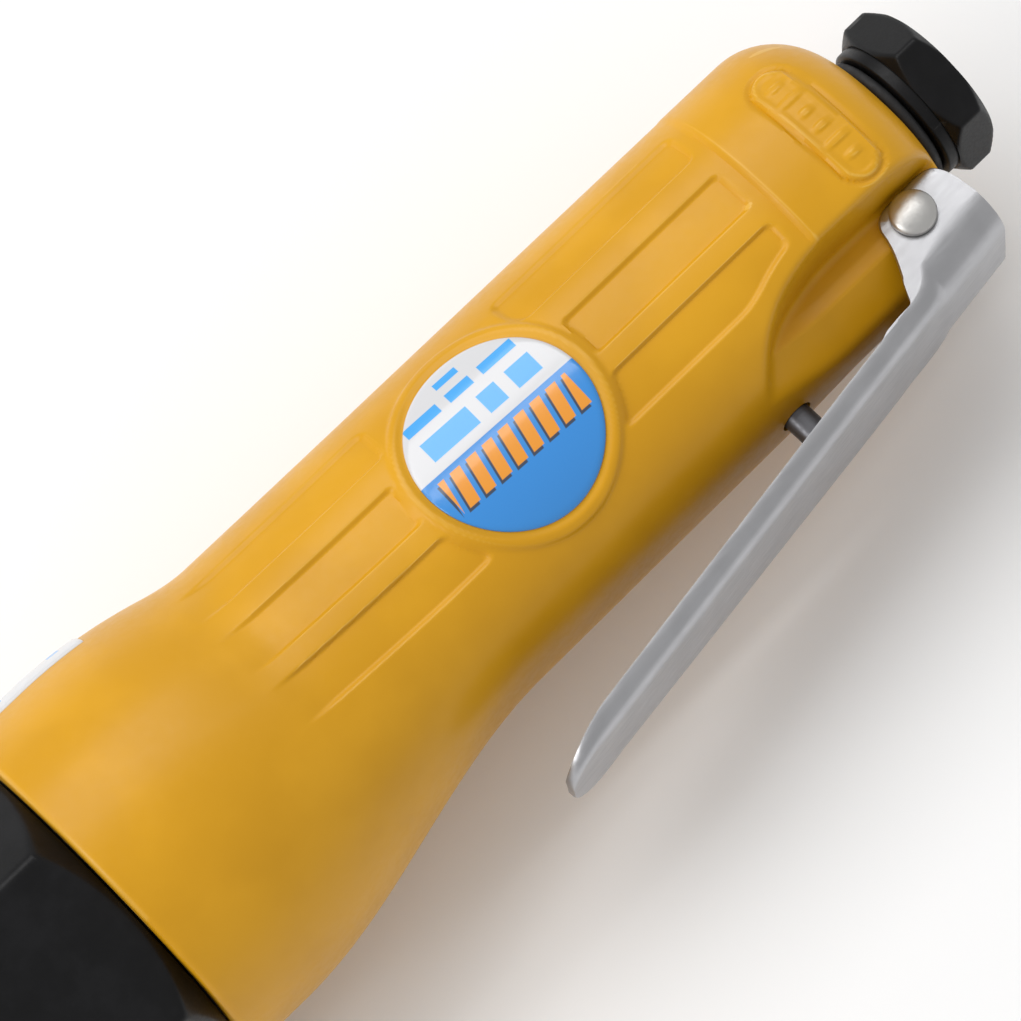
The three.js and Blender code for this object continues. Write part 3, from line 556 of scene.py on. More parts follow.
def vane_composite():
    vane = Graph("vane_composite", (0.15, 0.05, 0.02), 0.6)
    weave = vane.noise(0.5, 4, 0.6, (0.2, 1, 1))
    color = vane.mix(vane.ramp(weave, 0.4, 0.6), (0.11, 0.035, 0.015), (0.19, 0.07, 0.03))
    vane.drive("Base Color", color)
    vane.bump(weave, 0.02)
    return vane.material


def bar(x, y, x_span, y_span):
    """1 inside a rectangle and 0 outside it."""
    across = (x - sum(x_span) / 2).abs() - (x_span[1] - x_span[0]) / 2
    along = (y - sum(y_span) / 2).abs() - (y_span[1] - y_span[0]) / 2
    return across.max(along).below(0)


LABEL_GREY = (0.64, 0.64, 0.655)
LABEL_BLUE = (0.026, 0.245, 0.66)
LABEL_SKY = (0.05, 0.37, 0.82)
LABEL_ORANGE = (0.80, 0.30, 0.02)
LABEL_SHADOW = (0.03, 0.05, 0.09)
LABEL_TURN_DEG = 2.6
LABEL_HORIZON = 1.0

# Plain bars on the label, as spans in x and y from its middle.
LABEL_BARS = [
    ((-2.0, 1.2), (8.8, 9.7)),
    ((-8.0, -3.2), (6.4, 7.7)),
    ((-1.9, 1.5), (6.4, 7.7)),
    ((2.8, 7.6), (6.4, 7.7)),
    ((-7.7, -1.1), (2.3, 5.0)),
    ((0.4, 3.0), (2.3, 5.0)),
    ((4.5, 7.9), (2.3, 5.0)),
]
STRIPE_COUNT = 8
STRIPE_PITCH = 2.3
STRIPE_LEAN = 0.2
STRIPE_GAP = 0.72
STRIPE_HALF_LENGTH = 2.2
STRIPE_DROP = 1.9
SHADOW_SHIFT = 0.35

# Plain bars on the side strip, as spans in x and z.
STRIP_BARS = [((4.8, 6.4), (-10, 10)), ((8.9, 10.5), (-8, 8)), ((13, 14.6), (-10, 10))]


def stripes(label, x, y):
    """1 on a band of leaning stripes and 0 off it."""
    repeat = label.math("PINGPONG", x - y * STRIPE_LEAN - 0.1, STRIPE_PITCH / 2)
    beside = x.abs() - STRIPE_PITCH * STRIPE_COUNT / 2
    band = beside.max((y + STRIPE_DROP).abs() - STRIPE_HALF_LENGTH)
    return (repeat - STRIPE_GAP).max(band).below(0)


def label_print():
    """A grey sky over blue, with rows of plain bars and a band of leaning orange stripes."""
    label = Graph("label_print", LABEL_GREY, 0.22, **{"Coat Weight": 0.6, "Coat Roughness": 0.08})
    x, y, _ = label.split(label.place(centre=(LABEL_X, GRIP_AXIS, 0), turn_deg=LABEL_TURN_DEG))
    color = label.mix(y.below(LABEL_HORIZON), LABEL_GREY, LABEL_BLUE)
    for x_span, y_span in LABEL_BARS:
        color = label.mix(bar(x, y, x_span, y_span), color, LABEL_SKY)
    shadow = stripes(label, x + SHADOW_SHIFT, y + SHADOW_SHIFT)
    color = label.mix(shadow, color, LABEL_SHADOW)
    color = label.mix(stripes(label, x, y), color, LABEL_ORANGE)
    label.drive("Base Color", color)
    label.bump(label.noise(3, 2), 0.01)
    return label.material


def strip_print():
    """A white strip with light blue bars that run round the nose."""
    strip = Graph("strip_print", LABEL_GREY, 0.3, **{"Coat Weight": 0.5, "Coat Roughness": 0.1})
    x, _, z = strip.split(strip.place())
    color = LABEL_GREY
    for x_span, z_span in STRIP_BARS:
        color = strip.mix(bar(x, z, x_span, z_span), color, LABEL_SKY)
    strip.drive("Base Color", color)
    strip.bump(strip.noise(3, 2), 0.01)
    return strip.material


MATERIALS = {
    "yellow_paint": yellow_paint(),
    "black_steel": black_oxide(),
    "nickel_lever": satin_metal("nickel_lever", (0.48, 0.48, 0.495), 0.34, (0.12, 1, 1), 0.5, 0.003),
    "bright_steel": satin_metal("bright_steel", (0.60, 0.59, 0.57), 0.36),
    "dark_steel": satin_metal("dark_steel", (0.14, 0.14, 0.15), 0.38),
    "spring_steel": satin_metal("spring_steel", (0.34, 0.34, 0.36), 0.3),
    "bearing_bronze": satin_metal("bearing_bronze", (0.55, 0.35, 0.14), 0.36),
    "seal_rubber": rubber(),
    "vane_composite": vane_composite(),
    "label_print": label_print(),
}
STRIP_PRINT = strip_print()


# ---- Housing -----------------------------------------------------


def grip_size(x):
    """Half width and half height of the grip at x."""
    into_tail = np.clip(x - (HOUSING_END - TAIL_ROUNDING), 0, TAIL_ROUNDING)
    inset = TAIL_ROUNDING - np.sqrt(TAIL_ROUNDING**2 - into_tail**2)
    block = TAIL_BLOCK_STEP * smooth_step(x, TAIL_BLOCK_START, TAIL_BLOCK_START + 0.7)
    return GRIP_HALF_WIDTH - GRIP_TAPER * x - inset, GRIP_HALF_HEIGHT + block - inset


def grip_radius(x, angle):
    half_width, half_height = grip_size(x)
    n = GRIP_SQUARENESS
    across = np.abs(np.cos(angle) / half_width) ** n + np.abs(np.sin(angle) / half_height) ** n
    return across ** (-1 / n)


def flare_share(x, angle):
    """Share of the grip's outline at x, from 0 at the nose to 1 on the grip."""
    far = smooth_min(np.clip((x - FLARE_START) / (FLARE_END_FAR - FLARE_START), 0, 2) ** 2, 1.0, 0.3)
    near = smooth_step(x, FLARE_START, FLARE_END_NEAR)
    side = 0.5 + 0.5 * np.cos(angle)
    return near * (1 - side) + far * side


def skin_point(x, angle, nose, grip):
    """Y and Z of the housing's outside, from its radius as a nose and its radius as a grip."""
    share = flare_share(x, angle)
    y = nose * np.cos(angle) * (1 - share) + (GRIP_AXIS + grip * np.cos(angle)) * share
    z = nose * np.sin(angle) * (1 - share) + grip * np.sin(angle) * share
    return y, z


def raised_skin(x, angle, proud):
    """Y and Z of the housing's bare skin, raised by proud."""
    return skin_point(x, angle, NOSE_RADIUS + proud, grip_radius(x, angle) + proud)


def recess_edge_distance(x, y):
    """About the distance in side view from the ear recess, less than 0 inside it.

    Its edge is a quadratic curve, which runs on straight in front and level behind.
    """
    (start, low), (pull_x, pull_y), (end, top) = RECESS_CURVE
    x_rate, x_bend = 2 * (pull_x - start), start - 2 * pull_x + end
    y_rate, y_bend = 2 * (pull_y - low), low - 2 * pull_y + top
    into = np.clip(x - start, 0, end - start)
    t = (-x_rate + np.sqrt(x_rate**2 + 4 * x_bend * into)) / (2 * x_bend)
    edge = low + y_rate * t + y_bend * t * t + np.minimum(x - start, 0) * y_rate / x_rate
    lean = np.where(x > end, 0, (y_rate + 2 * y_bend * t) / (x_rate + 2 * x_bend * t))
    return (y - edge) / np.hypot(1, lean)


def recess_distance(x, y, z):
    """Distance from the space cut away for the lever's ears, less than 0 inside it."""
    run_out = RECESS_RUN_OUT * (1 - smooth_step(x, *RECESS_RUN_OUT_SPAN))
    chamfer = smooth_max(0.0, (RECESS_CHAMFER_TOP - y) * RECESS_CHAMFER_SLOPE, 0.1)
    floor = EAR_FLAT + run_out - chamfer
    return smooth_max(floor - np.abs(z), recess_edge_distance(x, y), 0.9)


def cut_for_ears(x, angle, radius):
    """Radius from the grip axis once the ear recess is cut, by halving the interval."""
    low = np.full(radius.shape, 3.0)
    high = radius + 0.2
    for _ in range(24):
        middle = (low + high) / 2
        y = GRIP_AXIS + middle * np.cos(angle)
        z = middle * np.sin(angle)
        outside = smooth_max(middle - radius, -recess_distance(x, y, z), 0.8) > 0
        high = np.where(outside, middle, high)
        low = np.where(outside, low, middle)
    return low


# Each row of panels: its span across the grip, its depth, where its front panel ends on the
# label side, and where its tail panel starts.
PANEL_ROWS = [
    ((7.8, 12.2), 0.42, 54, 74),
    ((-1.0, 4.4), 0.5, 51.8, 77.6),
    ((-8.9, -3.8), 0.5, 54, 74),
]


def sunken(distance, depth, wall=0.5):
    """Height of a panel sunk by depth, whose wall is spread over a short run."""
    return -depth * smooth_step(-distance, -wall / 2, wall / 2)


def panel_height(x, u, label_side):
    """The sunken panels in front of and behind the label, three across."""
    height = np.zeros(x.shape)
    from_label = np.hypot(x - LABEL_X, u)
    from_recess = recess_edge_distance(x, u + GRIP_AXIS)
    fade = smooth_step(x, *PANEL_FADE)
    for u_span, depth, front_end, tail_start in PANEL_ROWS:
        front_span = (PANEL_START, front_end if label_side else FAR_PANEL_END)
        front = box_distance(x, u, front_span, u_span, PANEL_CORNER)
        tail = box_distance(x, u, (tail_start, PANEL_TAIL_END), u_span, PANEL_CORNER)
        if label_side:
            front = smooth_max(front, PANEL_TO_LABEL - from_label, PANEL_CORNER)
            tail = smooth_max(tail, PANEL_TO_LABEL - from_label, PANEL_CORNER)
        tail = smooth_max(tail, PANEL_TO_RECESS - from_recess, 1.0)
        height += sunken(front, depth) * fade + sunken(tail, depth)
    return height


def bead_height(x, u):
    """The raised bead round the label."""
    off = np.abs(np.hypot(x - LABEL_X, u) - BEAD_RADIUS)
    return BEAD_HEIGHT * (1 - smooth_step(off, 0.25, 0.95))


def badge_height(x, u):
    """A long oval groove across the tail block, with a low rim and plain raised bars in it."""
    across, along = x - BADGE_X + BADGE_LEAN * u, u - BADGE_MIDDLE
    width_span = (-BADGE_HALF_WIDTH, BADGE_HALF_WIDTH)
    oval = box_distance(across, along, width_span, BADGE_SPAN, BADGE_HALF_WIDTH)
    height = BADGE_RIM_HEIGHT * (1 - smooth_step(np.abs(oval + 0.75), 0.2, 0.55))
    height -= BADGE_GROOVE_DEPTH * (1 - smooth_step(np.abs(oval), 0.1, 0.42))
    for i in range(BADGE_BARS):
        middle = BADGE_FIRST_BAR - BADGE_BAR_PITCH * i
        half_length = (0.9, 1.4, 0.7)[i % 3]
        bar_span = (middle - 0.4, middle + 0.4)
        mark = box_distance(across, along, (-half_length, half_length), bar_span, 0.35)
        height += BADGE_BAR_HEIGHT * (1 - smooth_step(mark, -0.1, 0.25))
    return height


def housing_stations():
    """Places along X, close together where the shape changes fast."""
    front = FRONT_ROUNDING * (1 - np.cos(np.linspace(0, math.pi / 2, 5)))
    length = HOUSING_END - TAIL_ROUNDING - FRONT_ROUNDING
    middle = np.linspace(FRONT_ROUNDING, FRONT_ROUNDING + length, 320)[1:-1]
    tail = HOUSING_END - TAIL_ROUNDING * (1 - np.sin(np.linspace(0, math.pi / 2, 26)))
    return np.concatenate([front, middle, tail])


def housing_rows():
    """Rows of points of the housing's outside, with its panels, bead, groove and recess.

    Columns lie closest together on the label's side.
    """
    stations = housing_stations()
    even = np.arange(HOUSING_COLUMNS) * 2 * math.pi / HOUSING_COLUMNS
    around = even + COLUMN_CROWDING * np.cos(even)
    x = np.repeat(stations[:, None], HOUSING_COLUMNS, 1)
    angle = np.repeat(around[None, :], len(stations), 0)
    y, z = raised_skin(x, angle, 0)
    u = y - GRIP_AXIS
    label_side = panel_height(x, u, True) + bead_height(x, u) + badge_height(x, u)
    height = np.where(z > PANEL_FACE_Z, label_side, 0)
    height = np.where(z < -PANEL_FACE_Z, panel_height(x, u, False), height)
    into_front = np.clip(FRONT_ROUNDING - x, 0, FRONT_ROUNDING)
    height -= FRONT_ROUNDING - np.sqrt(np.clip(FRONT_ROUNDING**2 - into_front**2, 0, None))
    grip = grip_radius(x, angle) + height
    grip = np.where(x > EAR_CUT_START, cut_for_ears(x, angle, grip), grip)
    y, z = skin_point(x, angle, NOSE_RADIUS + height, grip)
    return np.stack([x, y, z], -1)


def motor_housing():
    body = tube("housing_shell", housing_rows())
    grip_axis = (0, GRIP_AXIS, 0)
    motor_bore = rounded([(-5, 19.2), (24, 19.2), (24, 14), (74, 14)], 0.4)
    valve_bore = [(-25, 2.1), (-13.4, 2.1), (-13.4, 5.6), (8, 5.6)]
    slots = []
    for i in range(SLOT_COUNT):
        start = SLOT_START + SLOT_PITCH * i
        outline = rounded_rectangle((start, start + SLOT_WIDTH), (-5, 7), 0.8)
        slots.append(prism("slot", outline, "z", (-20, -12)))
    combine(
        body,
        "DIFFERENCE",
        turned("cut", motor_bore),
        turned("cut", [(105.5, 7.3), (130, 7.3)], centre=grip_axis),
        turned("cut", [(88, 4), (106.5, 4)], centre=grip_axis),
        turned("cut", valve_bore, "y", (VALVE_X, 0, 0)),
        turned("cut", [(-20, 1.8), (20, 1.8)], "z", (PIVOT_X, PIVOT_Y, 0), segments=48),
        *slots,
    )
    finish_piece(body, "tool_body", "yellow_paint", ["motor_housing"], 40)


def round_label():
    """A round sticker that follows the skin inside the bead."""
    rim = np.array([0.02, 0.12, 0.3])
    rim_drop = np.array([0.02, 0.06, 0.14])
    inner_radii = np.linspace(0.4, LABEL_RADIUS - 0.35, 26)
    under_radii = [LABEL_RADIUS, LABEL_RADIUS - 0.4, 0.4]
    radii = np.concatenate([inner_radii, LABEL_RADIUS - rim[::-1], under_radii])
    inner_lift = np.full(len(inner_radii), LABEL_PROUD)
    lift = np.concatenate([inner_lift, LABEL_PROUD - rim_drop, [0.05, -0.1, -0.1]])
    columns, n = 160, GRIP_SQUARENESS
    angle = np.arange(columns) * 2 * math.pi / columns
    rows = []
    for radius, up in zip(radii, lift):
        x = LABEL_X + radius * np.cos(angle)
        u = radius * np.sin(angle)
        half_width, half_height = grip_size(x)
        z = half_height * (1 - np.abs(u / half_width) ** n) ** (1 / n)
        rows.append(np.stack([x, GRIP_AXIS + u, z + up], -1))
    body = tube("round_label", np.array(rows))
    finish_piece(body, "tool_body", "label_print", ["label_disc"], 60)


def side_strip():
    """A strip sticker round the nose, away from the lever."""
    stations = np.linspace(2.5, 17, 40)
    half_angle, columns, rim = math.radians(33), 90, 0.12
    angle = np.linspace(-half_angle, half_angle, columns)
    rows = []
    for x in stations:
        proud = rim if x in (stations[0], stations[-1]) else LABEL_PROUD
        lift = np.where(np.abs(angle) > half_angle - 0.01, rim, proud)
        outer_y, outer_z = raised_skin(np.full(columns, x), angle, lift)
        inner_y, inner_z = raised_skin(np.full(columns, x), angle[::-1], -0.1)
        y = np.concatenate([outer_y, inner_y])
        z = np.concatenate([outer_z, inner_z])
        rows.append(np.stack([np.full(2 * columns, x), y, z], -1))
    body = tube("side_strip", np.array(rows))
    finish_piece(body, "tool_body", "label_print", ["side_label"], 60, STRIP_PRINT)


# ---- Inlet -------------------------------------------------------


def threaded_bore(start, end, radius, pitch=1.4, depth=0.55):
    """Rings like those of a thread, from start to end along the bore."""
    step = math.copysign(pitch, end - start)
    corners = []
    for i in range(int(abs(end - start) / pitch)):
        at = start + i * step
        corners += [(at, radius), (at + 0.5 * step, radius + depth)]
    return corners


def inlet_bushing():
    """A bushing screwed into the tail, with a hexagon behind it and a threaded bore."""
    bore, hex_end = 5.7, INLET_END
    on_flats = INLET_HEX_FLATS / 2
    on_corners = on_flats / math.cos(math.pi / 6) + 0.4
    chamfer = INLET_HEX_CHAMFER
    profile = [(106.2, bore), (106.2, 6.4), (108.3, 7.0), (121, 7.0), (121.3, 7.4), (123.4, 7.4)]
    profile += rounded([(123.4, 8.4), (123.6, 9), (INLET_HEX_START, 9)], 0.3)
    profile += [(INLET_HEX_START, on_flats - 0.2)]
    profile += slope((INLET_HEX_START, on_flats), (INLET_HEX_START + chamfer, on_corners), 6)
    profile += slope((hex_end - chamfer, on_corners), (hex_end, on_flats), 6)
    profile += rounded([(hex_end, 8.7), (hex_end, 7.4), (hex_end - 1.2, 6.3)], 0.3)
    profile += threaded_bore(hex_end - 1.4, 116, bore)
    hexagon = faceted(6, INLET_HEX_FLATS, INLET_HEX_TURN, 0.35, 0.25, 9.0)
    body = turned("inlet_fitting", profile, "x", (0, GRIP_AXIS, 0), True, hexagon, 240)
    finish_piece(body, "tool_body", "black_steel", ["inlet_bushing"])


def inlet_seal():
    angle = np.arange(24) * 2 * math.pi / 24
    profile = [(122.5 + 0.68 * math.cos(a), 8.05 + 0.55 * math.sin(a)) for a in angle]
    body = turned("inlet_o_ring", profile, "x", (0, GRIP_AXIS, 0), True)
    finish_piece(body, "tool_body", "seal_rubber", ["inlet_seal"])


# ---- Throttle ----------------------------------------------------


def lever_back(x):
    """Y of the outer face of the lever's back."""
    return LEVER_BACK_AT_PIVOT - LEVER_SLOPE * (PIVOT_X - x)


def ear_outline():
    """The ears' free edge in side view, from the lip over the top and down the rear edge."""
    ear_front, heel = 107.2, LEVER_HEEL
    lip = lever_back(ear_front) + LEVER_LIP
    corners = [
        (ear_front - 5, lip - 0.7),
        (ear_front - 0.8, lip - 0.1),
        (ear_front, lip),
        (ear_front + 0.5, lip + 1.2),
        (110.4, -11.4),
        (111.2, -7.6),
        (119.7, -7.3),
        (heel - 0.7, -9.4),
        (heel - 0.3, -13),
    ]
    return np.array(rounded(corners, 2.6, 10))


def lever_stations():
    """Foot on the back and top of the wall for each cross-section, as x, and x with y."""
    lip_end = 102
    corner = LEVER_TIP + LEVER_CORNER * (1 - np.cos(np.linspace(0.25, math.pi / 2, 16)))
    front = np.concatenate([corner[:-1], np.linspace(corner[-1], lip_end, 50)[:-1]])
    fade = smooth_step(front, LEVER_TIP, LEVER_TIP + 9)
    lip = np.stack([front, lever_back(front) + LEVER_SHEET + (LEVER_LIP - LEVER_SHEET) * fade], -1)
    ear = ear_outline()
    foot = lip_end + (LEVER_FOOT_END - lip_end) * np.linspace(0, 1, len(ear)) ** 0.8
    return np.concatenate([front, foot]), np.concatenate([lip, ear])


def lever_half_width(x):
    """Half width to the middle of the sheet."""
    into_tip = np.clip(LEVER_TIP + LEVER_CORNER - x, 0, LEVER_CORNER)
    corner = LEVER_CORNER - math.sqrt(LEVER_CORNER**2 - into_tip**2)
    toward_tip = np.clip((LEVER_NARROW_FROM - x) / (LEVER_NARROW_FROM - LEVER_TIP), 0, 1)
    return EAR_MIDDLE - LEVER_NARROWING * toward_tip - corner


def lever_section(foot, top_x, top_y):
    """One half of a cross-section, from the middle of the inner face round to the outer face."""
    half_sheet, half = LEVER_SHEET / 2, lever_half_width(foot)
    back = lever_back(foot) + half_sheet
    wanted = LEVER_BEND + LEVER_BEND_GROWTH * smooth_step(foot, 101, 110)
    bend = min(wanted, max(top_y - back, 0.0), 0.7 * half)
    round_over = 0.3 * min(1, max(0, top_y - back - bend) / 0.5)
    arc = np.linspace(0, math.pi / 2, 7)

    def face(offset, top):
        """The wall, bend and flat of one face, offset inwards from the middle of the sheet."""
        radius = max(bend - offset, 0.05)
        z_centre, y_centre = half - offset - radius, back + offset + radius
        top = max(top, y_centre + 0.02)
        wall = np.linspace(top, y_centre, 9)[:-1]
        lean = (wall - y_centre) / (top - y_centre)
        points = [(foot + (top_x - foot) * t, y, half - offset) for t, y in zip(lean, wall)]
        points += [(foot, y_centre - radius * math.sin(a), z_centre + radius * math.cos(a)) for a in arc]
        flat = np.linspace(z_centre, 0, 6)[1:]
        return points + [(foot, back + offset, z) for z in flat]

    inner = face(half_sheet, top_y - round_over)
    outer = face(-half_sheet, top_y - round_over)
    rim_half = half_sheet - round_over
    rim = [(top_x, top_y, half - rim_half), (top_x, top_y, half + rim_half)]
    return inner[::-1] + (rim if round_over else [inner[0], outer[0]]) + outer


def throttle_lever():
    """A stamped channel, with low walls along the paddle and an ear on each side of the pivot."""
    rows = []
    for foot, (top_x, top_y) in zip(*lever_stations()):
        half = lever_section(foot, top_x, top_y)
        rows.append(half + [(x, y, -z) for x, y, z in half[-2:0:-1]])
    body = tube("lever_plate", np.array(rows))
    finish_piece(body, "lever", "nickel_lever", ["throttle_lever"], 50)


def lever_pin():
    """A rivet with a domed head on each ear."""
    shank, rim, under, dome_start, top = 1.6, 2.7, 8.65, 9.0, 10.05
    arc = np.linspace(0, 1.5, 14)
    dome = [(dome_start + (top - dome_start) * math.sin(a), rim * math.cos(a)) for a in arc]
    half = rounded([(0, shank), (under, shank), (under, rim), dome[0]], 0.08) + dome[1:]
    mirrored = [(-along, radius) for along, radius in reversed(half[1:])]
    body = turned("pivot_rivet", mirrored + half[1:], "z", (PIVOT_X, PIVOT_Y, 0), segments=64)
    finish_piece(body, "tool_body", "bright_steel", ["lever_pin"])


def throttle_valve():
    """The stem that the lever pushes, with its poppet inside."""
    end = lever_back(VALVE_X) + LEVER_SHEET + 0.3
    corners = [
        (end, 0.01), (end, STEM_RADIUS), (-6.2, STEM_RADIUS), (-6.2, 4.3),
        (-4.4, 4.3), (-4.4, 1.6), (-2.2, 1.6), (-2.2, 0.01),
    ]
    body = turned("valve_stem", rounded(corners, 0.4), "y", (VALVE_X, 0, 0), segments=64)
    finish_piece(body, "valve", "dark_steel", ["throttle_valve"])


def valve_bushing():
    """The guide round the stem, with a groove for its seal."""
    outer, inner, low, high, groove = 5.3, 2.1, -13.3, -6.5, 4.3
    corners = [
        (low, inner), (low, outer), (-13.1, outer), (-13.1, groove), (-11.6, groove),
        (-11.6, outer), (high, outer), (high, inner), (low, inner),
    ]
    body = turned("valve_guide", rounded(corners, 0.2)[:-1], "y", (VALVE_X, 0, 0), True)
    finish_piece(body, "tool_body", "bearing_bronze", ["valve_bushing"])


# ---- Clamp nut and ratchet head ----------------------------------


def clamp_nut():
    """A wide nut with both ends of its hexagon sloped off, and a spigot inside the housing."""
    on_flats = NUT_FLATS / 2 - 0.2
    on_corners = NUT_FLATS / 2 / math.cos(math.pi / 6) + 0.5
    rise = on_corners - on_flats
    end, bore = -0.3, 13.1
    front, back = NUT_START + 0.1, end - 0.1
    profile = [(NUT_START, bore + 0.6), (NUT_START, on_flats - 0.4)]
    profile += slope((front, on_flats), (front + rise, on_corners), 10)
    profile += slope((back - rise, on_corners), (back, on_flats), 10)
    spigot = [(end, on_flats - 0.4), (end, 18.7), (9, 18.7), (9, 16.6), (-8, 16.6), (-8, bore)]
    profile += rounded(spigot, 0.3)
    profile += [(NUT_START + 0.6, bore)]
    hexagon = faceted(6, NUT_FLATS, NUT_TURN, 0.7, 0.35, 19.0)
    body = turned("hex_clamp_nut", profile, "x", (0, 0, 0), True, hexagon, 360)
    finish_piece(body, "tool_body", "black_steel", ["clamp_nut"])


def neck_rows():
    """The neck, round behind the nut and wide and flat where it meets the head."""
    start, end = NUT_START - 0.3, HEAD_X + 4
    columns = 160
    angle = np.arange(columns) * 2 * math.pi / columns
    thinning, widening = NECK_END_HALF_THICKNESS - NECK_RADIUS, NECK_END_HALF_WIDTH - NECK_RADIUS
    rows = []
    for x in np.linspace(start, end, 90):
        along = np.clip((NUT_START - x) / (NUT_START - HEAD_X - 20), 0, 1)
        waist = math.sin(math.pi * min(1, along * 1.05))
        half_thickness = NECK_RADIUS + thinning * smooth_step(along, 0, 0.7)
        half_width = NECK_RADIUS + widening * along**2 - NECK_WAIST * waist
        n = 2 + along
        across = np.abs(np.cos(angle) / half_thickness) ** n + np.abs(np.sin(angle) / half_width) ** n
        radius = across ** (-1 / n) - 0.7 * (1 - smooth_step(start - x, 0, 1.0))
        points = (np.full(columns, x), radius * np.cos(angle), radius * np.sin(angle))
        rows.append(np.stack(points, -1))
    return np.array(rows)


def ratchet_head():
    """A casting of neck and round head, melted together and hollowed for the drive."""
    centre = (HEAD_X, 0, 0)
    disc_corners = [
        (HEAD_DRIVE_FACE, 0.01), (HEAD_DRIVE_FACE, HEAD_RADIUS),
        (HEAD_KNOB_FACE, HEAD_RADIUS), (HEAD_KNOB_FACE, 0.01),
    ]
    body = tube("head_casting", neck_rows())
    disc = turned("disc", rounded(disc_corners, 2.2, 8), "y", centre, segments=200)
    combine(body, "UNION", disc)
    remesh(body, 0.45, 14)
    pocket = [(-40, 16.6), (-8.8, 16.6), (-8.8, 17.6), (-6.7, 17.6), (-6.7, 16.6), (7, 16.6)]
    mouth = [(-40, 17.4), (HEAD_DRIVE_FACE + 0.55, 17.4), (HEAD_DRIVE_FACE + 1.3, 16.6)]
    knob_seat = [(HEAD_KNOB_FACE - 0.9, 9.4), (40, 9.4)]
    combine(
        body,
        "DIFFERENCE",
        turned("cut", pocket, "y", centre, segments=128),
        turned("cut", mouth, "y", centre, segments=128),
        turned("cut", [(0, 8.7), (40, 8.7)], "y", centre, segments=96),
        turned("cut", knob_seat, "y", centre, segments=96),
        turned("cut", [(HEAD_X + 10, 9.4), (20, 9.4)], segments=64),
    )
    finish_piece(body, "tool_body", "black_steel", ["ratchet_head"], 40)


def square_drive():
    """The anvil: a journal, and a square with a bevelled end and a hole for the ball."""
    start, middle = -13.5, (HEAD_X, 0, 0)
    half = SQUARE / 2
    rows = [(SQUARE_END, half - 0.9)]
    rows += [(SQUARE_END + 0.3 * i, half - 0.4 + 0.42 * i) for i in range(1, 9)]
    shank = np.linspace(SQUARE_END + 3.2, start + 0.4, 12)
    rows += [(along, half * math.sqrt(2) + 2) for along in shank]
    outline = faceted(4, SQUARE, 45, 0.8, 0.35)
    square = turned("anvil_square", rows, "y", middle, radius_at=outline, segments=240)
    journal = [
        (start, 0.01), (start, 9.9), (-5, 9.9), (-5, 12.2), (5, 12.2), (5, 8.4), (11.7, 8.4), (11.7, 0.01),
    ]
    combine(square, "UNION", turned("journal", rounded(journal, 0.5), "y", middle, segments=128))
    ball_y = in_tool(sum(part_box("socket_ball"), Vector()) / 2)[1]
    hole = turned("cut", [(HEAD_X - 10, 2.55), (HEAD_X + 1.2, 2.55)], "x", (0, ball_y, 0), segments=48)
    knob_bore = turned("cut", [(-4, 3.9), (20, 3.9)], "y", middle, segments=48)
    pocket_outline = rounded_rectangle((-10.7, 10.7), (HEAD_X - 14, HEAD_X - 2.2), 0.4)
    pawl_pocket = prism("cut", pocket_outline, "y", (-3.9, 3.9))
    combine(square, "DIFFERENCE", hole, knob_bore, pawl_pocket)
    finish_piece(square, "drive_anvil", "bright_steel", ["anvil"])


def socket_ball():
    low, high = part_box("socket_ball")
    centre = in_tool((low + high) / 2)
    radius = (high.y - low.y) / 2 / MM
    arc = np.linspace(-math.pi / 2, math.pi / 2, 33)[1:-1]
    profile = [(radius * math.sin(a), radius * math.cos(a)) for a in arc]
    body = turned("detent_ball", profile, "x", tuple(centre), segments=48)
    finish_piece(body, "socket_catch", "bright_steel", ["socket_ball"])


def reverse_knob():
    """A disc with a raised finger grip and a fluted rim."""
    base, rim, grip_top = HEAD_KNOB_FACE + 0.2, HEAD_KNOB_FACE + 2.2, HEAD_KNOB_FACE + 6.2
    radius, shaft, flutes, flute_depth = 8, 3.6, 24, 0.22

    def fluted(angle, limit):
        if limit < radius - 0.6:
            return np.full(len(angle), limit)
        return limit - flute_depth * (0.5 + 0.5 * np.cos(flutes * angle))

    corners = [(-3.6, 0.01), (-3.6, shaft), (base, shaft), (base, radius), (rim, radius), (rim, 0.01)]
    body = turned(
        "reversing_knob", rounded(corners, 0.6), "y", (HEAD_X, 0, 0), radius_at=fluted, segments=288
    )
    grip_outline = rounded_rectangle((-1.8, 1.8), (HEAD_X - 7, HEAD_X + 7), 1.7)
    grip = prism("grip", grip_outline, "y", (rim - 1, grip_top))
    bevel_edges(grip, 0.7, 4)
    combine(body, "UNION", grip)
    hole = turned("cut", [(HEAD_X - 5, 1.35), (HEAD_X + 1.6, 1.35)], segments=32)
    combine(body, "DIFFERENCE", hole)
    finish_piece(body, "knob", "black_steel", ["reverse_knob"])


def flat_ring(name, node, slot, y_span, outer, inner, gap=0.0):
    """A washer, or a snap ring with a gap on the side of the neck."""
    low, high = y_span
    corners = [(low, inner), (low, outer), (high, outer), (high, inner), (low, inner)]
    body = turned(name, rounded(corners, 0.25)[:-1], "y", (HEAD_X, 0, 0), True, segments=128)
    if gap:
        outline = rounded_rectangle((-gap / 2, gap / 2), (HEAD_X + 10, HEAD_X + 30), 0.2)
        combine(body, "DIFFERENCE", prism("cut", outline, "y", (-20, 20)))
    finish_piece(body, "tool_body", slot, [node])


# ---- CAD nodes that stay as they are -----------------------------

SLOT_OF_NODE = {s["node"]: s["material_slot"] for s in frame["record"]["subparts"]}


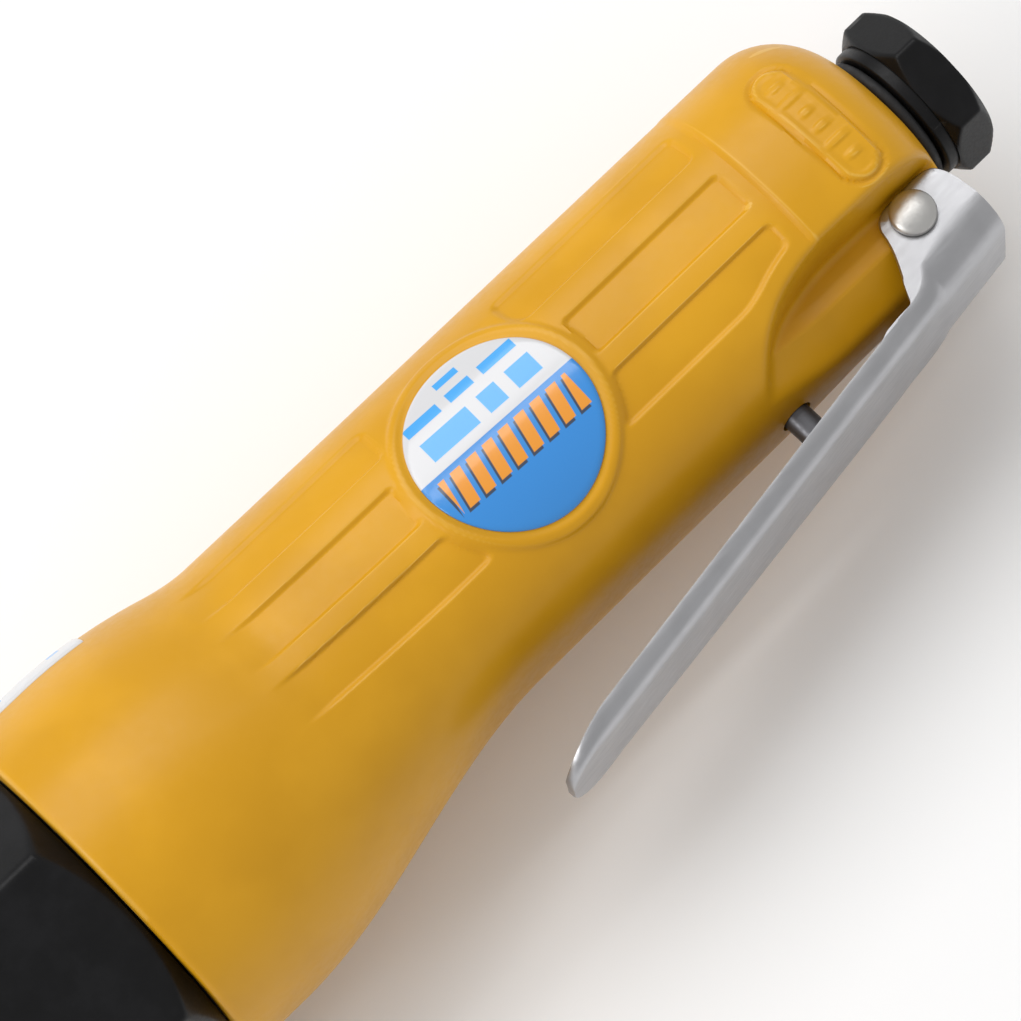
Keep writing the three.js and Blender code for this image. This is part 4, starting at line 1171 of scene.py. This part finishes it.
def dress_cad_nodes():
    """Every inner piece keeps its CAD mesh and gets the material of its slot."""
    for name, node in frame["nodes"].items():
        if node.hide_render:
            continue
        node.data.materials.clear()
        node.data.materials.append(MATERIALS[SLOT_OF_NODE[name]])


# ---- Camera, lights and floor ------------------------------------

VIEW_TILT = math.radians(16.1)
VIEW_ROLL = math.radians(44.0)
VIEW_DISTANCE = 623
VIEW_STATION = -32.8
AIM = (61.4, -0.34, 0.0)
FOCAL = 201.7
SENSOR_WIDTH = 36
WORLD_STRENGTH = 0.58

# In metres: half the floor's width, and each light's place and size. The power is in watts.
FLOOR_REACH = 3
LIGHTS = [
    ("key", (0.0, 0.58, 0.85), (1.3, 0.5), 5.2),
    ("strip", (0.06, 0.235, 0.80), (1.3, 0.05), 0.8),
    ("front", (-0.9, 0.15, 0.6), (0.5, 0.5), 3.6),
]


def add_camera():
    """A camera that looks at AIM, with the tool's X axis rolled up in the picture by VIEW_ROLL."""
    height, drop = VIEW_DISTANCE * math.cos(VIEW_TILT), VIEW_DISTANCE * math.sin(VIEW_TILT)
    place = Vector((VIEW_STATION, -drop, height))
    forward = (Vector(AIM) - place).normalized()
    along = (Vector((1, 0, 0)) - forward * forward.x).normalized()
    up = along.cross(forward)
    right = along * math.cos(VIEW_ROLL) - up * math.sin(VIEW_ROLL)
    top = along * math.sin(VIEW_ROLL) + up * math.cos(VIEW_ROLL)
    data = bpy.data.cameras.new("camera")
    data.lens = FOCAL
    data.sensor_width = SENSOR_WIDTH
    data.clip_end = 20
    camera = add_object("camera", data)
    turn = Matrix((right, top, -forward)).transposed().to_4x4()
    camera.matrix_world = Matrix.Translation(place * MM + Vector(ORIGIN)) @ turn
    bpy.context.scene.camera = camera


def area_light(name, place, size, power):
    """A soft rectangular light that points at the middle of the tool."""
    data = bpy.data.lights.new(name, "AREA")
    data.shape = "RECTANGLE"
    data.size, data.size_y = size
    data.energy = power
    backward = (Vector(place) - (CAD_LOW + CAD_HIGH) / 2).normalized()
    side = Vector((1, 0, 0))
    side = (side - backward * side.dot(backward)).normalized()
    turn = Matrix((side, backward.cross(side), backward)).transposed().to_4x4()
    add_object(name, data).matrix_world = Matrix.Translation(place) @ turn


def add_surroundings():
    world = bpy.data.worlds.new("studio")
    world.use_nodes = True
    background = world.node_tree.nodes["Background"]
    background.inputs["Color"].default_value = (1, 1, 1, 1)
    background.inputs["Strength"].default_value = WORLD_STRENGTH
    bpy.context.scene.world = world
    bpy.context.scene.view_settings.view_transform = "Standard"
    for light in LIGHTS:
        area_light(*light)
    floor_mesh = bpy.data.meshes.new("floor")
    corners = [(a * FLOOR_REACH, b * FLOOR_REACH, 0) for a, b in ((-1, -1), (1, -1), (1, 1), (-1, 1))]
    floor_mesh.from_pydata(corners, [], [(0, 1, 2, 3)])
    floor = add_object("floor", floor_mesh)
    paper = Graph("floor_paper", (0.93, 0.93, 0.93), 0.8)
    paper.bump(paper.noise(4, 2), 0.02)
    floor.data.materials.append(paper.material)


# ---- The tool ----------------------------------------------------

add_camera()
motor_housing()
round_label()
side_strip()
inlet_bushing()
inlet_seal()
throttle_lever()
lever_pin()
throttle_valve()
valve_bushing()
clamp_nut()
ratchet_head()
square_drive()
socket_ball()
reverse_knob()
flat_ring("thrust_ring", "thrust_washer", "bearing_bronze", (-6.6, -5.3), 16.3, 10.2)
flat_ring("snap_ring", "retaining_ring", "dark_steel", (-8.5, -7), 17.3, 14.4, 3.2)
flat_ring("wave_washer", "friction_washer", "bright_steel", (5.3, 6.6), 16.2, 8.8)
dress_cad_nodes()
add_surroundings()
